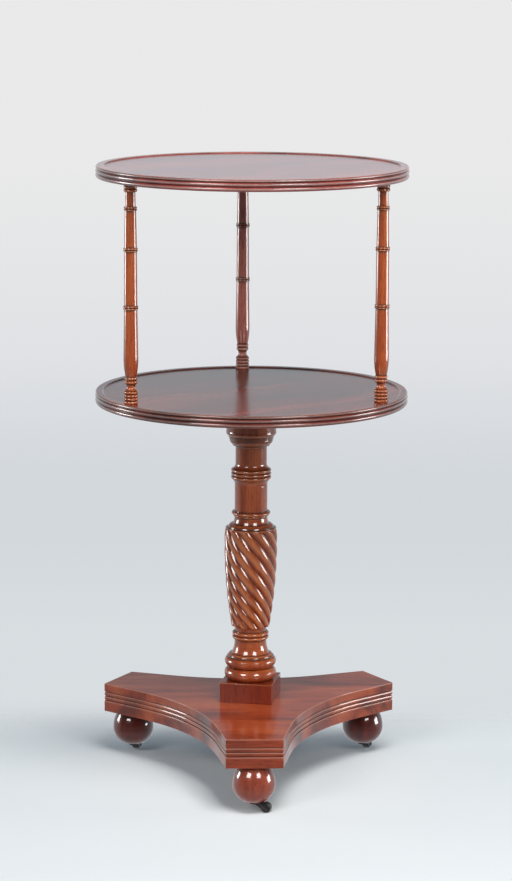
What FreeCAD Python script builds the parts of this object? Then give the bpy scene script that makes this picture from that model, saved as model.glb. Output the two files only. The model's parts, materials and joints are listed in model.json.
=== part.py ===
import FreeCAD, Part
import math
import os
import re
import Sketcher

from FreeCAD import Placement, Rotation, Vector

# A two-tier serving stand in turned mahogany: two dished round tiers joined by three pillars,
# on a column with a spiral-reeded barrel, a three-legged base with hollow sides, and three
# ball feet on small iron casters. Millimetres. The origin is on the floor, under the middle
# of the column. +Z is up and the front leg points along -Y.

SIZES = {
    # Clearances
    "joint_clearance": 0.1,
    "running_clearance": 0.06,
    "swivel_gap": 0.3,
    "hole_relief": 1.0,

    # Tiers
    "lower_tier_radius": 254.0,
    "upper_tier_radius": 252.0,
    "tier_thickness": 19.0,
    "tier_lip": 2.0,
    "tier_rim_width": 11.5,
    "tier_rim_cove": 2.6,
    "tier_cove_depth": 0.5,
    "tier_reed_swell": 1.9,
    "tier_low_reed": 7.4,
    "tier_middle_reed": 6.8,
    "tier_top_swell": 1.6,

    # Pillars, from the lower tier up
    "pillar_count": 3,
    "pillar_inset": 22.0,
    "gallery_turn": 2.2,
    "pillar_tenon_radius": 6.5,
    "pillar_tenon_length": 11.0,
    "pillar_foot_beads": 4,
    "pillar_foot_root": 9.9,
    "pillar_foot_bead": 5.3,
    "pillar_foot_swell": 1.5,
    "pillar_cove_radius": 10.3,
    "pillar_cove_height": 6.8,
    "pillar_cove_depth": 1.1,
    "pillar_waist_radius": 7.0,
    "pillar_flare_radius": 8.6,
    "pillar_flare_height": 4.0,
    "pillar_flare_depth": 0.4,
    "pillar_pair_root": 8.7,
    "pillar_pair_bead": 5.9,
    "pillar_pair_swell": 1.5,
    "vase_foot_radius": 8.9,
    "vase_belly_radius": 11.8,
    "vase_height": 31.0,
    "vase_swell": 0.9,
    "low_shaft_height": 75.5,
    "low_ring_radius": 10.6,
    "middle_shaft_height": 85.0,
    "middle_ring_radius": 10.1,
    "high_shaft_height": 57.9,
    "high_ring_radius": 9.0,
    "ring_bead": 3.4,
    "ring_step": 0.4,
    "ring_swell": 1.1,
    "pillar_neck_foot": 8.2,
    "pillar_neck_radius": 7.9,
    "pillar_neck_height": 22.8,
    "pillar_cap_root": 9.3,
    "pillar_cap_bead": 5.4,
    "pillar_cap_swell": 1.6,
    "pillar_cap_radius": 10.2,
    "pillar_cap_height": 1.8,

    # Bearer under the lower tier, and its screws
    "bearer_radius": 75.0,
    "bearer_thickness": 24.9,
    "bearer_edge_height": 12.0,
    "bearer_edge_width": 9.0,
    "bearer_edge_swell": 2.0,
    "bearer_screw_count": 4,
    "bearer_screw_circle": 56.0,
    "bearer_screw_radius": 2.2,
    "bearer_screw_length": 35.0,
    "bearer_head_radius": 4.2,
    "bearer_head_height": 2.6,
    "screw_point_height": 5.0,

    # Column, from its lower tenon up
    "column_tenon_radius": 19.0,
    "tenon_recess": 1.0,
    "plinth_width": 87.0,
    "plinth_height": 33.0,
    "plinth_turn": -12.0,
    "torus_root": 33.5,
    "low_torus_height": 22.0,
    "low_torus_swell": 9.4,
    "high_torus_height": 16.5,
    "high_torus_swell": 6.6,
    "foot_fillet_radius": 38.2,
    "fillet_height": 1.8,
    "foot_cushion_radius": 37.0,
    "foot_cushion_top": 32.6,
    "foot_cushion_height": 3.4,
    "foot_cushion_swell": 1.2,
    "foot_cove_start": 31.6,
    "foot_cove_height": 18.5,
    "foot_cove_depth": 1.2,
    "waist_radius": 26.4,
    "waist_height": 5.9,
    "collar_root": 27.8,
    "collar_bead": 6.4,
    "collar_swell": 2.4,
    "throat_radius": 25.8,
    "throat_height": 8.5,
    "lip_root": 41.2,
    "lip_height": 2.0,
    "lip_swell": 0.5,
    "head_fillet_radius": 38.4,
    "head_cushion_radius": 37.6,
    "head_cushion_top": 30.0,
    "head_cushion_height": 5.2,
    "head_cushion_swell": 1.8,
    "head_cove_start": 29.6,
    "head_cove_height": 11.8,
    "head_cove_depth": 0.7,
    "head_cove_top": 27.0,
    "seat_ring_root": 27.6,
    "seat_ring_height": 3.2,
    "seat_ring_swell": 1.4,
    "ring_root": 29.5,
    "column_ring_bead": 5.4,
    "column_ring_swell": 2.5,
    "drum_radius": 26.9,
    "drum_height": 42.6,
    "drum_cove_height": 10.0,
    "drum_cove_depth": 1.2,
    "drum_fillet_radius": 30.3,
    "drum_fillet_height": 1.0,
    "band_root": 30.9,
    "band_bead": 5.9,
    "band_swell": 2.1,
    "neck_cove_height": 9.2,
    "neck_cove_depth": 1.4,
    "neck_radius": 25.8,
    "neck_height": 25.6,
    "capital_cove_radius": 28.0,
    "capital_cove_height": 3.6,
    "capital_cove_depth": 0.6,
    "capital_step_radius": 30.6,
    "capital_step_height": 1.4,
    "capital_bell_radius": 35.6,
    "capital_bell_height": 9.3,
    "capital_bell_swell": 1.6,
    "capital_fillet_radius": 36.4,
    "capital_fillet_height": 3.2,
    "capital_band_radius": 37.4,
    "capital_band_height": 2.2,
    "capital_ovolo_height": 8.0,
    "capital_ovolo_swell": 1.8,
    "abacus_radius": 40.9,
    "abacus_height": 21.4,
    "abacus_chamfer": 1.5,
    "column_pin_radius": 15.0,
    "column_pin_length": 22.0,

    # Spiral-reeded barrel of the column
    "barrel_height": 164.1,
    "barrel_core_radius": 20.0,
    "barrel_belly_height": 139.1,
    "barrel_foot_radius": 31.4,
    "barrel_belly_radius": 43.5,
    "barrel_head_radius": 42.9,
    "barrel_groove_depth": 3.6,
    "barrel_reeds": 12,
    "barrel_helix_angle": 41.0,
    "barrel_turn": 8.0,

    # Wedge that spreads the column's lower tenon
    "wedge_width": 3.4,
    "wedge_point_width": 1.2,
    "wedge_depth": 26.0,

    # Base platform
    "leg_count": 3,
    "base_thickness": 47.2,
    "leg_end_width": 91.2,
    "leg_reach": 255.0,
    "base_waist": 119.0,
    "side_arc_radius": 370.0,
    "base_low_band": 17.3,
    "base_high_band": 12.3,
    "base_reeds": 2,
    "base_groove_depth": 2.2,
    "base_groove_rise": 1.5,
    "base_reed_round": 0.6,

    # Ball feet
    "foot_inset": 30.0,
    "foot_bottom_radius": 19.0,
    "foot_radius": 34.2,
    "foot_seat_radius": 21.5,
    "foot_low_height": 26.3,
    "foot_high_height": 33.8,
    "foot_tenon_radius": 11.0,
    "foot_tenon_length": 24.0,

    # Casters
    "caster_height": 16.7,
    "plate_radius": 12.0,
    "plate_thickness": 2.0,
    "plate_screw_count": 3,
    "plate_screw_circle": 8.3,
    "plate_screw_radius": 1.2,
    "plate_screw_length": 11.0,
    "plate_head_radius": 2.1,
    "plate_head_height": 0.9,
    "plate_screw_point": 2.5,
    "stem_radius": 2.5,
    "stem_length": 24.0,
    "stem_head_radius": 3.6,
    "stem_head_height": 1.4,
    "crown_thickness": 3.3,
    "crown_reach": 9.0,
    "strap_start": 5.0,
    "cheek_thickness": 1.8,
    "cheek_boss_radius": 4.6,
    "wheel_radius": 8.5,
    "wheel_width": 11.0,
    "wheel_side_gap": 0.4,
    "wheel_crown": 0.5,
    "wheel_edge": 1.0,
    "trail": 20.7,
    "axle_radius": 1.75,
    "axle_head_radius": 3.0,
    "axle_head_height": 1.1,
    "front_swivel": -20.0,
    "left_swivel": 76.0,
    "right_swivel": 65.0,
}

FULL_TURN = 360.0
FRONT = "-90"
TINY = 1e-9
NODES = []

doc = FreeCAD.newDocument("ServingStand")
sheet = doc.addObject("Spreadsheet::Sheet", "Sizes")
for row, (alias, value) in enumerate(SIZES.items(), start=1):
    sheet.set("A%d" % row, alias)
    sheet.set("B%d" % row, str(value))
    sheet.setAlias("B%d" % row, alias)
doc.recompute()


# Sizes as expressions

def bound(text):
    """The expression with each size's name qualified by its sheet."""
    return re.sub(r"[a-z_]+", lambda word: "Sizes." + word[0] if word[0] in SIZES else word[0], text)


def number(text):
    """The value of an expression of sizes."""
    return float(sheet.evalExpression(bound(text)))


def bind(thing, path, text):
    thing.setExpression(path, bound(text))


def total(*texts):
    return " + ".join("(" + text + ")" for text in texts)


# Bodies and sketches

def new_body(label, node=True):
    name = "".join(word.capitalize() for word in label.split("_"))
    body = doc.addObject("PartDesign::Body", name)
    body.Label = label
    if node:
        NODES.append(body)
    return body


def place(body, x="0", y="0", height="0", turn="0"):
    """Sets the body's own place from the sheet."""
    for path, text in (("x", x), ("y", y), ("z", height)):
        bind(body, "Placement.Base." + path, text)
    body.Placement = Placement(Vector(), Rotation(Vector(0, 0, 1), number(turn)))
    bind(body, "Placement.Rotation.Angle", turn)


def origin_item(body, role):
    return next(item for item in body.Origin.OriginFeatures if item.Role == role)


def new_sketch(body, name, plane="XY_Plane", offset="0"):
    sketch = body.newObject("Sketcher::SketchObject", body.Name + name)
    sketch.AttachmentSupport = [(origin_item(body, plane), "")]
    sketch.MapMode = "FlatFace"
    bind(sketch, "AttachmentOffset.Base.z", offset)
    return sketch


def fix(sketch, kind, places, text):
    """Adds one dimension and ties it to the sheet."""
    index = sketch.addConstraint(Sketcher.Constraint(kind, *places, number(text)))
    bind(sketch, "Constraints[%d]" % index, text)


def relate(sketch, kind, *places):
    sketch.addConstraint(Sketcher.Constraint(kind, *places))


def pin(sketch, point, x, y):
    """Dimensions a point from the sketch's origin."""
    for kind, text, axis in (("DistanceX", x, -2), ("DistanceY", y, -1)):
        if abs(number(text)) < TINY:
            relate(sketch, "PointOnObject", *point, axis)
        else:
            fix(sketch, kind, (-1, 1, *point), text)


def add_circle(sketch, x, y, radius):
    ring = Part.Circle(Vector(number(x), number(y), 0), Vector(0, 0, 1), number(radius))
    index = sketch.addGeometry(ring)
    pin(sketch, (index, 3), x, y)
    fix(sketch, "Radius", (index,), radius)
    return index


def polygon(sketch, places):
    """Draws a closed outline with every corner dimensioned."""
    points = [Vector(number(x), number(y), 0) for x, y in places]
    for index, start in enumerate(points):
        sketch.addGeometry(Part.LineSegment(start, points[(index + 1) % len(points)]))
    for index, (x, y) in enumerate(places):
        relate(sketch, "Coincident", index, 2, (index + 1) % len(points), 1)
        pin(sketch, (index, 1), x, y)


# Turned pieces

def line(radius, rise="0"):
    return ("line", radius, rise)


def bead(radius, rise, swell):
    """An arc that stands out by its swell."""
    return ("bead", radius, rise, swell)


def cove(radius, rise, depth):
    """An arc that is hollowed by its depth."""
    return ("cove", radius, rise, depth)


def rising(radius, rise):
    """An arc that is upright where it ends."""
    return ("rising", radius, rise)


def leaning(radius, rise):
    """An arc that is upright where it starts."""
    return ("leaning", radius, rise)


def beads(count, root, rise, swell):
    return [line(root)] + [bead(root, rise, swell)] * count


def bulged_arc(start, end, swell):
    chord = end - start
    middle = (start + end) * 0.5 + Vector(chord.y, -chord.x, 0) * (swell / chord.Length)
    return Part.Arc(start, middle, end)


def level_arc(start, end, level_at_end):
    rise = end.y - start.y
    if level_at_end:
        centre_x = (end.x ** 2 - start.x ** 2 - rise ** 2) / (2 * (end.x - start.x))
        centre = Vector(centre_x, end.y, 0)
    else:
        centre_x = (start.x ** 2 - end.x ** 2 - rise ** 2) / (2 * (start.x - end.x))
        centre = Vector(centre_x, start.y, 0)
    radius = (start - centre).Length
    half = (start + end) * 0.5 - centre
    return Part.Arc(start, centre + half * (radius / half.Length), end)


def turned(body, steps, plane="XZ_Plane", name="Turning"):
    """Turns an outline about the sketch's upright axis, from its origin outward and up."""
    sketch = new_sketch(body, name + "Outline", plane)
    here = Vector()
    last = (-1, 1)
    last_radius = "0"
    for step in steps:
        kind, radius, rise = step[:3]
        there = Vector(number(radius), here.y + number(rise), 0)
        ends = (1, 2)
        if kind == "line":
            edge = sketch.addGeometry(Part.LineSegment(here, there))
        elif kind in ("bead", "cove"):
            swell = number(step[3])
            if kind == "cove":
                swell = -swell
                ends = (2, 1)
            edge = sketch.addGeometry(bulged_arc(here, there, swell))
            chord = "((%s) - (%s)) ^ 2 + (%s) ^ 2" % (radius, last_radius, rise)
            fix(sketch, "Radius", (edge,), "(%s) / (8 * (%s)) + (%s) / 2" % (chord, step[3], step[3]))
        else:
            edge = sketch.addGeometry(level_arc(here, there, kind == "rising"))
            relate(sketch, "Horizontal", edge, 3, edge, 2 if kind == "rising" else 1)
        first = (edge, ends[0])
        final = (edge, ends[1])
        relate(sketch, "Coincident", *first, *last)
        if rise == "0":
            relate(sketch, "Horizontal", *first, *final)
        elif rise.startswith("-"):
            fix(sketch, "DistanceY", (*final, *first), rise[1:])
        else:
            fix(sketch, "DistanceY", (*first, *final), rise)
        if radius == "0":
            relate(sketch, "PointOnObject", *final, -2)
        else:
            fix(sketch, "DistanceX", (-1, 1, *final), radius)
        last = final
        last_radius = radius
        here = there
    spine = sketch.addGeometry(Part.LineSegment(here, Vector()))
    relate(sketch, "Coincident", spine, 1, *last)
    relate(sketch, "Coincident", spine, 2, -1, 1)
    feature = body.newObject("PartDesign::Revolution", body.Name + name)
    feature.Profile = sketch
    feature.ReferenceAxis = (sketch, ["V_Axis"])
    feature.Angle = FULL_TURN
    doc.recompute()
    return feature


def height_of(steps):
    return total(*[step[2] for step in steps if step[2] != "0"])


# Holes and patterns

def pattern(body, feature, count):
    """Repeats a feature round the body's upright axis."""
    copies = body.newObject("PartDesign::PolarPattern", feature.Name + "Pattern")
    copies.Originals = [feature]
    copies.Axis = (origin_item(body, "Z_Axis"), [""])
    copies.Angle = FULL_TURN
    bind(copies, "Occurrences", count)
    body.Tip = copies
    doc.recompute()
    return copies


def cut(body, sketch, name, depth, upward=False, both_ways=False):
    """Cuts a sketch out of the body and makes sure that it took something away."""
    before = body.Shape.Volume
    feature = body.newObject("PartDesign::Pocket", body.Name + name)
    feature.Profile = sketch
    feature.Reversed = upward
    feature.Midplane = both_ways
    bind(feature, "Length", depth)
    doc.recompute()
    if body.Shape.Volume >= before:
        raise RuntimeError("%s %s cuts nothing" % (body.Label, name))
    return feature


def drill(body, name, radius, depth, level, x="0", y="0", upward=False):
    sketch = new_sketch(body, name + "Circle", offset=level)
    add_circle(sketch, x, y, radius)
    return cut(body, sketch, name, depth, upward)


def round_the_axis(circle, turn):
    return "(%s) * cos(%s)" % (circle, turn), "(%s) * sin(%s)" % (circle, turn)


# Where the pieces stand, from the floor up

FOOT_LEVEL = total("caster_height", "plate_thickness")
BASE_LEVEL = total(FOOT_LEVEL, "foot_low_height", "foot_high_height")
COLUMN_TENON = "base_thickness - tenon_recess"
FOOT_CIRCLE = "leg_reach - foot_inset"
PILLAR_CIRCLE = "min(lower_tier_radius; upper_tier_radius) - pillar_inset"
BEARER_SCREW_TURN = "0.5 * 360 / bearer_screw_count"

PILLAR_TURNS = {
    "left": "%s - 0.5 * 360 / pillar_count + gallery_turn" % FRONT,
    "right": "%s + 0.5 * 360 / pillar_count + gallery_turn" % FRONT,
    "back": "%s + 1.5 * 360 / pillar_count + gallery_turn" % FRONT,
}
FOOT_TURNS = {
    "front": FRONT,
    "left": "%s - 360 / leg_count" % FRONT,
    "right": "%s + 360 / leg_count" % FRONT,
}


# Column

def column_steps():
    """The column's outline in three stretches: foot, barrel core and head."""
    foot = [line("column_tenon_radius"), line("column_tenon_radius", COLUMN_TENON)]
    foot += [line("torus_root"), line("torus_root", "plinth_height")]
    foot += [bead("torus_root", "low_torus_height", "low_torus_swell")]
    foot += [bead("foot_fillet_radius", "high_torus_height", "high_torus_swell")]
    foot += [line("foot_fillet_radius", "fillet_height"), line("foot_cushion_radius")]
    foot += [bead("foot_cushion_top", "foot_cushion_height", "foot_cushion_swell")]
    foot += [line("foot_cove_start"), cove("waist_radius", "foot_cove_height", "foot_cove_depth")]
    foot += [line("waist_radius", "waist_height")]
    foot += beads(2, "collar_root", "collar_bead", "collar_swell")
    foot += [line("throat_radius"), line("throat_radius", "throat_height")]
    core = [line("barrel_core_radius"), line("barrel_core_radius", "barrel_height")]
    head = [line("lip_root"), bead("lip_root", "lip_height", "lip_swell")]
    head += [line("head_fillet_radius"), line("head_fillet_radius", "fillet_height")]
    head += [line("head_cushion_radius")]
    head += [bead("head_cushion_top", "head_cushion_height", "head_cushion_swell")]
    head += [line("head_cove_start"), cove("head_cove_top", "head_cove_height", "head_cove_depth")]
    head += beads(1, "seat_ring_root", "seat_ring_height", "seat_ring_swell")
    head += beads(1, "ring_root", "column_ring_bead", "column_ring_swell")
    head += [line("drum_radius"), line("drum_radius", "drum_height")]
    head += [cove("drum_fillet_radius", "drum_cove_height", "drum_cove_depth")]
    head += [line("drum_fillet_radius", "drum_fillet_height")]
    head += beads(3, "band_root", "band_bead", "band_swell")
    head += [line("drum_fillet_radius"), cove("neck_radius", "neck_cove_height", "neck_cove_depth")]
    head += [line("neck_radius", "neck_height")]
    head += [cove("capital_cove_radius", "capital_cove_height", "capital_cove_depth")]
    head += [line("capital_step_radius"), line("capital_step_radius", "capital_step_height")]
    head += [bead("capital_bell_radius", "capital_bell_height", "capital_bell_swell")]
    head += [line("capital_fillet_radius"), line("capital_fillet_radius", "capital_fillet_height")]
    head += [line("capital_band_radius"), line("capital_band_radius", "capital_band_height")]
    head += [bead("abacus_radius", "capital_ovolo_height", "capital_ovolo_swell")]
    head += [line("abacus_radius", "abacus_height")]
    head += [line("abacus_radius - abacus_chamfer", "abacus_chamfer")]
    return foot, core, head


COLUMN_FOOT, COLUMN_CORE, COLUMN_HEAD = column_steps()
BARREL_LEVEL = total(BASE_LEVEL, "tenon_recess", height_of(COLUMN_FOOT))
BEARER_LEVEL = total(BARREL_LEVEL, height_of(COLUMN_CORE), height_of(COLUMN_HEAD))
LOWER_TIER_LEVEL = total(BEARER_LEVEL, "bearer_thickness")
PILLAR_LEVEL = total(LOWER_TIER_LEVEL, "tier_thickness - tier_lip")


def barrel_crest(height):
    """The reeds' outer radius at a height above the barrel's foot."""
    belly = number("barrel_belly_radius")
    belly_height = number("barrel_belly_height")
    if height < belly_height:
        share = (belly_height - height) / belly_height
        return belly - (belly - number("barrel_foot_radius")) * share ** 2
    share = (height - belly_height) / (number("barrel_height") - belly_height)
    return belly - (belly - number("barrel_head_radius")) * share ** 2


def barrel_row(height, turn, reed, points):
    """Points across one reed, from groove to groove."""
    crest = barrel_crest(height)
    valley = crest - number("barrel_groove_depth") * crest / number("barrel_belly_radius")
    half = math.pi / number("barrel_reeds")
    centre = (crest ** 2 - valley ** 2) / (2 * (crest - valley * math.cos(half)))
    round_radius = crest - centre
    spread = math.atan2(valley * math.sin(half), valley * math.cos(half) - centre)
    middle = turn + 2 * half * reed
    row = []
    for step in range(points):
        angle = spread * (2 * step / (points - 1) - 1)
        out = centre + round_radius * math.cos(angle)
        side = round_radius * math.sin(angle)
        x = out * math.cos(middle) - side * math.sin(middle)
        y = out * math.sin(middle) + side * math.cos(middle)
        row.append(Vector(x, y, height))
    return row


def barrel_turns(levels):
    """How far the left-handed spiral has turned at each level, at one angle to the axis."""
    slope = math.tan(math.radians(number("barrel_helix_angle")))
    turns = [math.radians(number("barrel_turn"))]
    for low, high in zip(levels, levels[1:]):
        mean_radius = (barrel_crest(low) + barrel_crest(high)) / 2
        turns.append(turns[-1] - slope * (high - low) / mean_radius)
    return turns


def barrel_shape(stations=25, points=7):
    """Bulged reeds that wind round the barrel, each one smooth surface."""
    height = number("barrel_height")
    levels = [height * step / (stations - 1) for step in range(stations)]
    turns = barrel_turns(levels)
    faces = []
    rims = ([], [])
    for reed in range(int(number("barrel_reeds"))):
        rows = [barrel_row(level, turn, reed, points) for level, turn in zip(levels, turns)]
        surface = Part.BSplineSurface()
        surface.interpolate(rows)
        faces.append(surface.toShape())
        low, high = surface.bounds()[:2]
        rims[0].append(surface.uIso(low).toShape())
        rims[1].append(surface.uIso(high).toShape())
    for rim in rims:
        faces.append(Part.Face(Part.Wire(Part.__sortEdges__(rim))))
    shell = Part.Shell(faces)
    shell.sewShape()
    solid = Part.Solid(shell)
    if solid.Volume < 0:
        solid.reverse()
    return solid


def make_column():
    body = new_body("column_turning", node=False)
    pin_steps = [line("column_pin_radius"), line("column_pin_radius", "column_pin_length"), line("0")]
    turned(body, COLUMN_FOOT + COLUMN_CORE + COLUMN_HEAD + pin_steps)
    square = new_sketch(body, "PlinthSquare", offset=COLUMN_TENON)
    half = "plinth_width / 2"
    polygon(square, [("-" + half, "-" + half), (half, "-" + half), (half, half), ("-" + half, half)])
    square.AttachmentOffset = Placement(Vector(), Rotation(Vector(0, 0, 1), number("plinth_turn")))
    bind(square, "AttachmentOffset.Rotation.Angle", "plinth_turn")
    plinth = body.newObject("PartDesign::Pad", "ColumnPlinth")
    plinth.Profile = square
    bind(plinth, "Length", "plinth_height")
    doc.recompute()
    slot = wedge_outline(body, "WedgeSlot", "0")
    cut(body, slot, "Slot", "2 * column_tenon_radius + hole_relief", both_ways=True)
    place(body, height=total(BASE_LEVEL, "tenon_recess"))

    barrel = doc.addObject("Part::Feature", "ColumnBarrel")
    barrel.Shape = barrel_shape()
    barrel.Placement = Placement(Vector(0, 0, number(BARREL_LEVEL)), Rotation())

    column = doc.addObject("Part::MultiFuse", "Column")
    column.Shapes = [body, barrel]
    column.Label = "column"
    NODES.append(column)


def wedge_outline(body, name, clearance):
    """A slim taper, wide at the tenon's end."""
    sketch = new_sketch(body, name, "XZ_Plane")
    wide = "wedge_width / 2 - (%s)" % clearance
    narrow = "wedge_point_width / 2 - (%s)" % clearance
    top = "wedge_depth - (%s)" % clearance
    polygon(sketch, [("-(%s)" % wide, "0"), (wide, "0"), (narrow, top), ("-(%s)" % narrow, top)])
    return sketch


def make_wedge():
    body = new_body("column_wedge")
    sketch = wedge_outline(body, "Taper", "joint_clearance")
    pad = body.newObject("PartDesign::Pad", "ColumnWedgePad")
    pad.Profile = sketch
    pad.Midplane = True
    bind(pad, "Length", "2 * sqrt(column_tenon_radius ^ 2 - wedge_width ^ 2)")
    place(body, height=total(BASE_LEVEL, "tenon_recess"))
    doc.recompute()


# Base platform

def base_outline(body, name, level, inset):
    """The three-legged outline with hollow sides, drawn in by the inset."""
    sketch = new_sketch(body, name, offset=level)
    reach = "leg_reach - (%s)" % inset
    half = "leg_end_width / 2 - (%s)" % inset
    sweep = "side_arc_radius + (%s)" % inset
    centre_out = "base_waist + side_arc_radius"
    legs = int(number("leg_count"))
    corners = []
    for leg in range(legs):
        turn = "(%s + %d * 360 / leg_count)" % (FRONT, leg)
        for side in ("-", ""):
            x = "(%s) * cos%s - (%s(%s)) * sin%s" % (reach, turn, side, half, turn)
            y = "(%s) * sin%s + (%s(%s)) * cos%s" % (reach, turn, side, half, turn)
            corners.append((x, y, Vector(number(x), number(y), 0)))
    for leg in range(legs):
        first = corners[2 * leg]
        second = corners[2 * leg + 1]
        third = corners[(2 * leg + 2) % len(corners)]
        turn = "(%s + %d.5 * 360 / leg_count)" % (FRONT, leg)
        x = "(%s) * cos%s" % (centre_out, turn)
        y = "(%s) * sin%s" % (centre_out, turn)
        centre = Vector(number(x), number(y), 0)
        start = tangent_point(second[2], centre, number(sweep), False)
        end = tangent_point(third[2], centre, number(sweep), True)
        crown = centre - (centre / centre.Length) * number(sweep)
        end_face = sketch.addGeometry(Part.LineSegment(first[2], second[2]))
        run_in = sketch.addGeometry(Part.LineSegment(second[2], start))
        hollow = sketch.addGeometry(Part.Arc(start, crown, end))
        run_out = sketch.addGeometry(Part.LineSegment(end, third[2]))
        relate(sketch, "Coincident", end_face, 2, run_in, 1)
        relate(sketch, "Tangent", run_in, 2, hollow, 2)
        relate(sketch, "Tangent", hollow, 1, run_out, 1)
        pin(sketch, (end_face, 1), first[0], first[1])
        pin(sketch, (end_face, 2), second[0], second[1])
        pin(sketch, (hollow, 3), x, y)
        fix(sketch, "Radius", (hollow,), sweep)
    per_leg = 4
    for leg in range(legs):
        relate(sketch, "Coincident", per_leg * leg + 3, 2, per_leg * ((leg + 1) % legs), 1)
    return sketch


def tangent_point(point, centre, radius, left):
    """Where a line from the point touches the circle, on the chosen side."""
    away = point - centre
    angle = math.atan2(away.y, away.x)
    spread = math.acos(radius / away.Length)
    angle += spread if left else -spread
    return centre + Vector(radius * math.cos(angle), radius * math.sin(angle), 0)


def base_levels():
    """Heights and insets of the edge, with three grooves and two reeds between two flat bands."""
    reeds = int(number("base_reeds"))
    bands = "base_thickness - base_low_band - base_high_band"
    half_reed = "(%s - 2 * (base_reeds + 1) * base_groove_rise) / (2 * base_reeds)" % bands
    level = "base_low_band"
    levels = [("0", "0"), (level, "0")]
    for groove in range(reeds + 1):
        rises = [("base_groove_rise", "base_groove_depth")]
        if groove < reeds:
            rises += [("base_groove_rise", "base_reed_round"), (half_reed, "0")]
            rises += [(half_reed, "base_reed_round")]
        else:
            rises += [("base_groove_rise", "0")]
        for rise, inset in rises:
            level = total(level, rise)
            levels.append((level, inset))
    levels.append(("base_thickness", "0"))
    return levels


def make_base():
    body = new_body("base_platform")
    sections = []
    for index, (level, inset) in enumerate(base_levels()):
        sections.append(base_outline(body, "Section%d" % index, level, inset))
    loft = body.newObject("PartDesign::AdditiveLoft", "BasePlatformLoft")
    loft.Profile = sections[0]
    loft.Sections = sections[1:]
    loft.Ruled = True
    doc.recompute()
    drill(body, "ColumnMortise", "column_tenon_radius + joint_clearance", "base_thickness",
          "base_thickness")
    x, y = round_the_axis(FOOT_CIRCLE, FRONT)
    mortise = drill(body, "FootMortise", "foot_tenon_radius + joint_clearance",
                    "foot_tenon_length + hole_relief", "0", x, y, upward=True)
    pattern(body, mortise, "leg_count")
    place(body, height=BASE_LEVEL)


# Tiers

def tier_steps(radius):
    edge = "(%s) - tier_reed_swell" % radius
    top_reed = "tier_thickness - tier_low_reed - tier_middle_reed"
    steps = [line(edge), bead(edge, "tier_low_reed", "tier_reed_swell")]
    steps += [bead(edge, "tier_middle_reed", "tier_reed_swell")]
    steps += [bead(edge, top_reed, "tier_top_swell")]
    steps += [line("(%s) - tier_rim_width" % radius)]
    steps += [cove("(%s) - tier_rim_width - tier_rim_cove" % radius, "-tier_lip", "tier_cove_depth")]
    steps += [line("0")]
    return steps


def make_tier(label, radius, level, pillar_side):
    body = new_body(label)
    turned(body, tier_steps(radius))
    x, y = round_the_axis(PILLAR_CIRCLE, PILLAR_TURNS["left"])
    hole = "pillar_tenon_radius + joint_clearance"
    depth = "pillar_tenon_length + hole_relief"
    surface = "tier_thickness - tier_lip" if pillar_side == "above" else "0"
    holes = drill(body, "PillarMortise", hole, depth, surface, x, y, upward=pillar_side == "below")
    pattern(body, holes, "pillar_count")
    if pillar_side == "above":
        x, y = round_the_axis("bearer_screw_circle", BEARER_SCREW_TURN)
        reach = "bearer_screw_length - bearer_thickness + hole_relief"
        holes = drill(body, "ScrewHole", "bearer_screw_radius + joint_clearance", reach, "0", x, y,
                      upward=True)
        pattern(body, holes, "bearer_screw_count")
    place(body, height=level)


def make_bearer():
    body = new_body("tier_bearer")
    steps = [line("bearer_radius - bearer_edge_width")]
    steps += [bead("bearer_radius", "bearer_edge_height", "bearer_edge_swell")]
    steps += [line("bearer_radius", "bearer_thickness - bearer_edge_height"), line("0")]
    turned(body, steps)
    drill(body, "PinHole", "column_pin_radius + joint_clearance", "bearer_thickness", "bearer_thickness")
    x, y = round_the_axis("bearer_screw_circle", BEARER_SCREW_TURN)
    holes = drill(body, "ScrewHole", "bearer_screw_radius + joint_clearance", "bearer_thickness",
                  "bearer_thickness", x, y)
    pattern(body, holes, "bearer_screw_count")
    recess = drill(body, "HeadRecess", "bearer_head_radius + joint_clearance", "bearer_head_height",
                   "0", x, y, upward=True)
    pattern(body, recess, "bearer_screw_count")
    place(body, height=BEARER_LEVEL)


def screw_steps(radius, head_radius, head_height, length, point):
    shank = "%s - %s - %s" % (length, head_height, point)
    return [line(head_radius), line(head_radius, head_height), line(radius), line(radius, shank),
            line("0", point)]


def screw_group(label, steps, circle, turn, count):
    """Equal screws round the axis, head down, as one group of separate solids."""
    body = new_body(label)
    body.AllowCompound = True
    feature = turned(body, steps)
    x, y = round_the_axis(circle, turn)
    profile = feature.Profile[0]
    profile.AttachmentOffset = Placement(Vector(number(x), 0, -number(y)), Rotation())
    bind(profile, "AttachmentOffset.Base.x", x)
    bind(profile, "AttachmentOffset.Base.z", "-(%s)" % y)
    doc.recompute()
    pattern(body, feature, count)
    return body


# Pillars

def ring_steps(radius):
    root = "%s + ring_step" % radius
    return beads(2, root, "ring_bead", "ring_swell") + [line(radius)]


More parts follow.
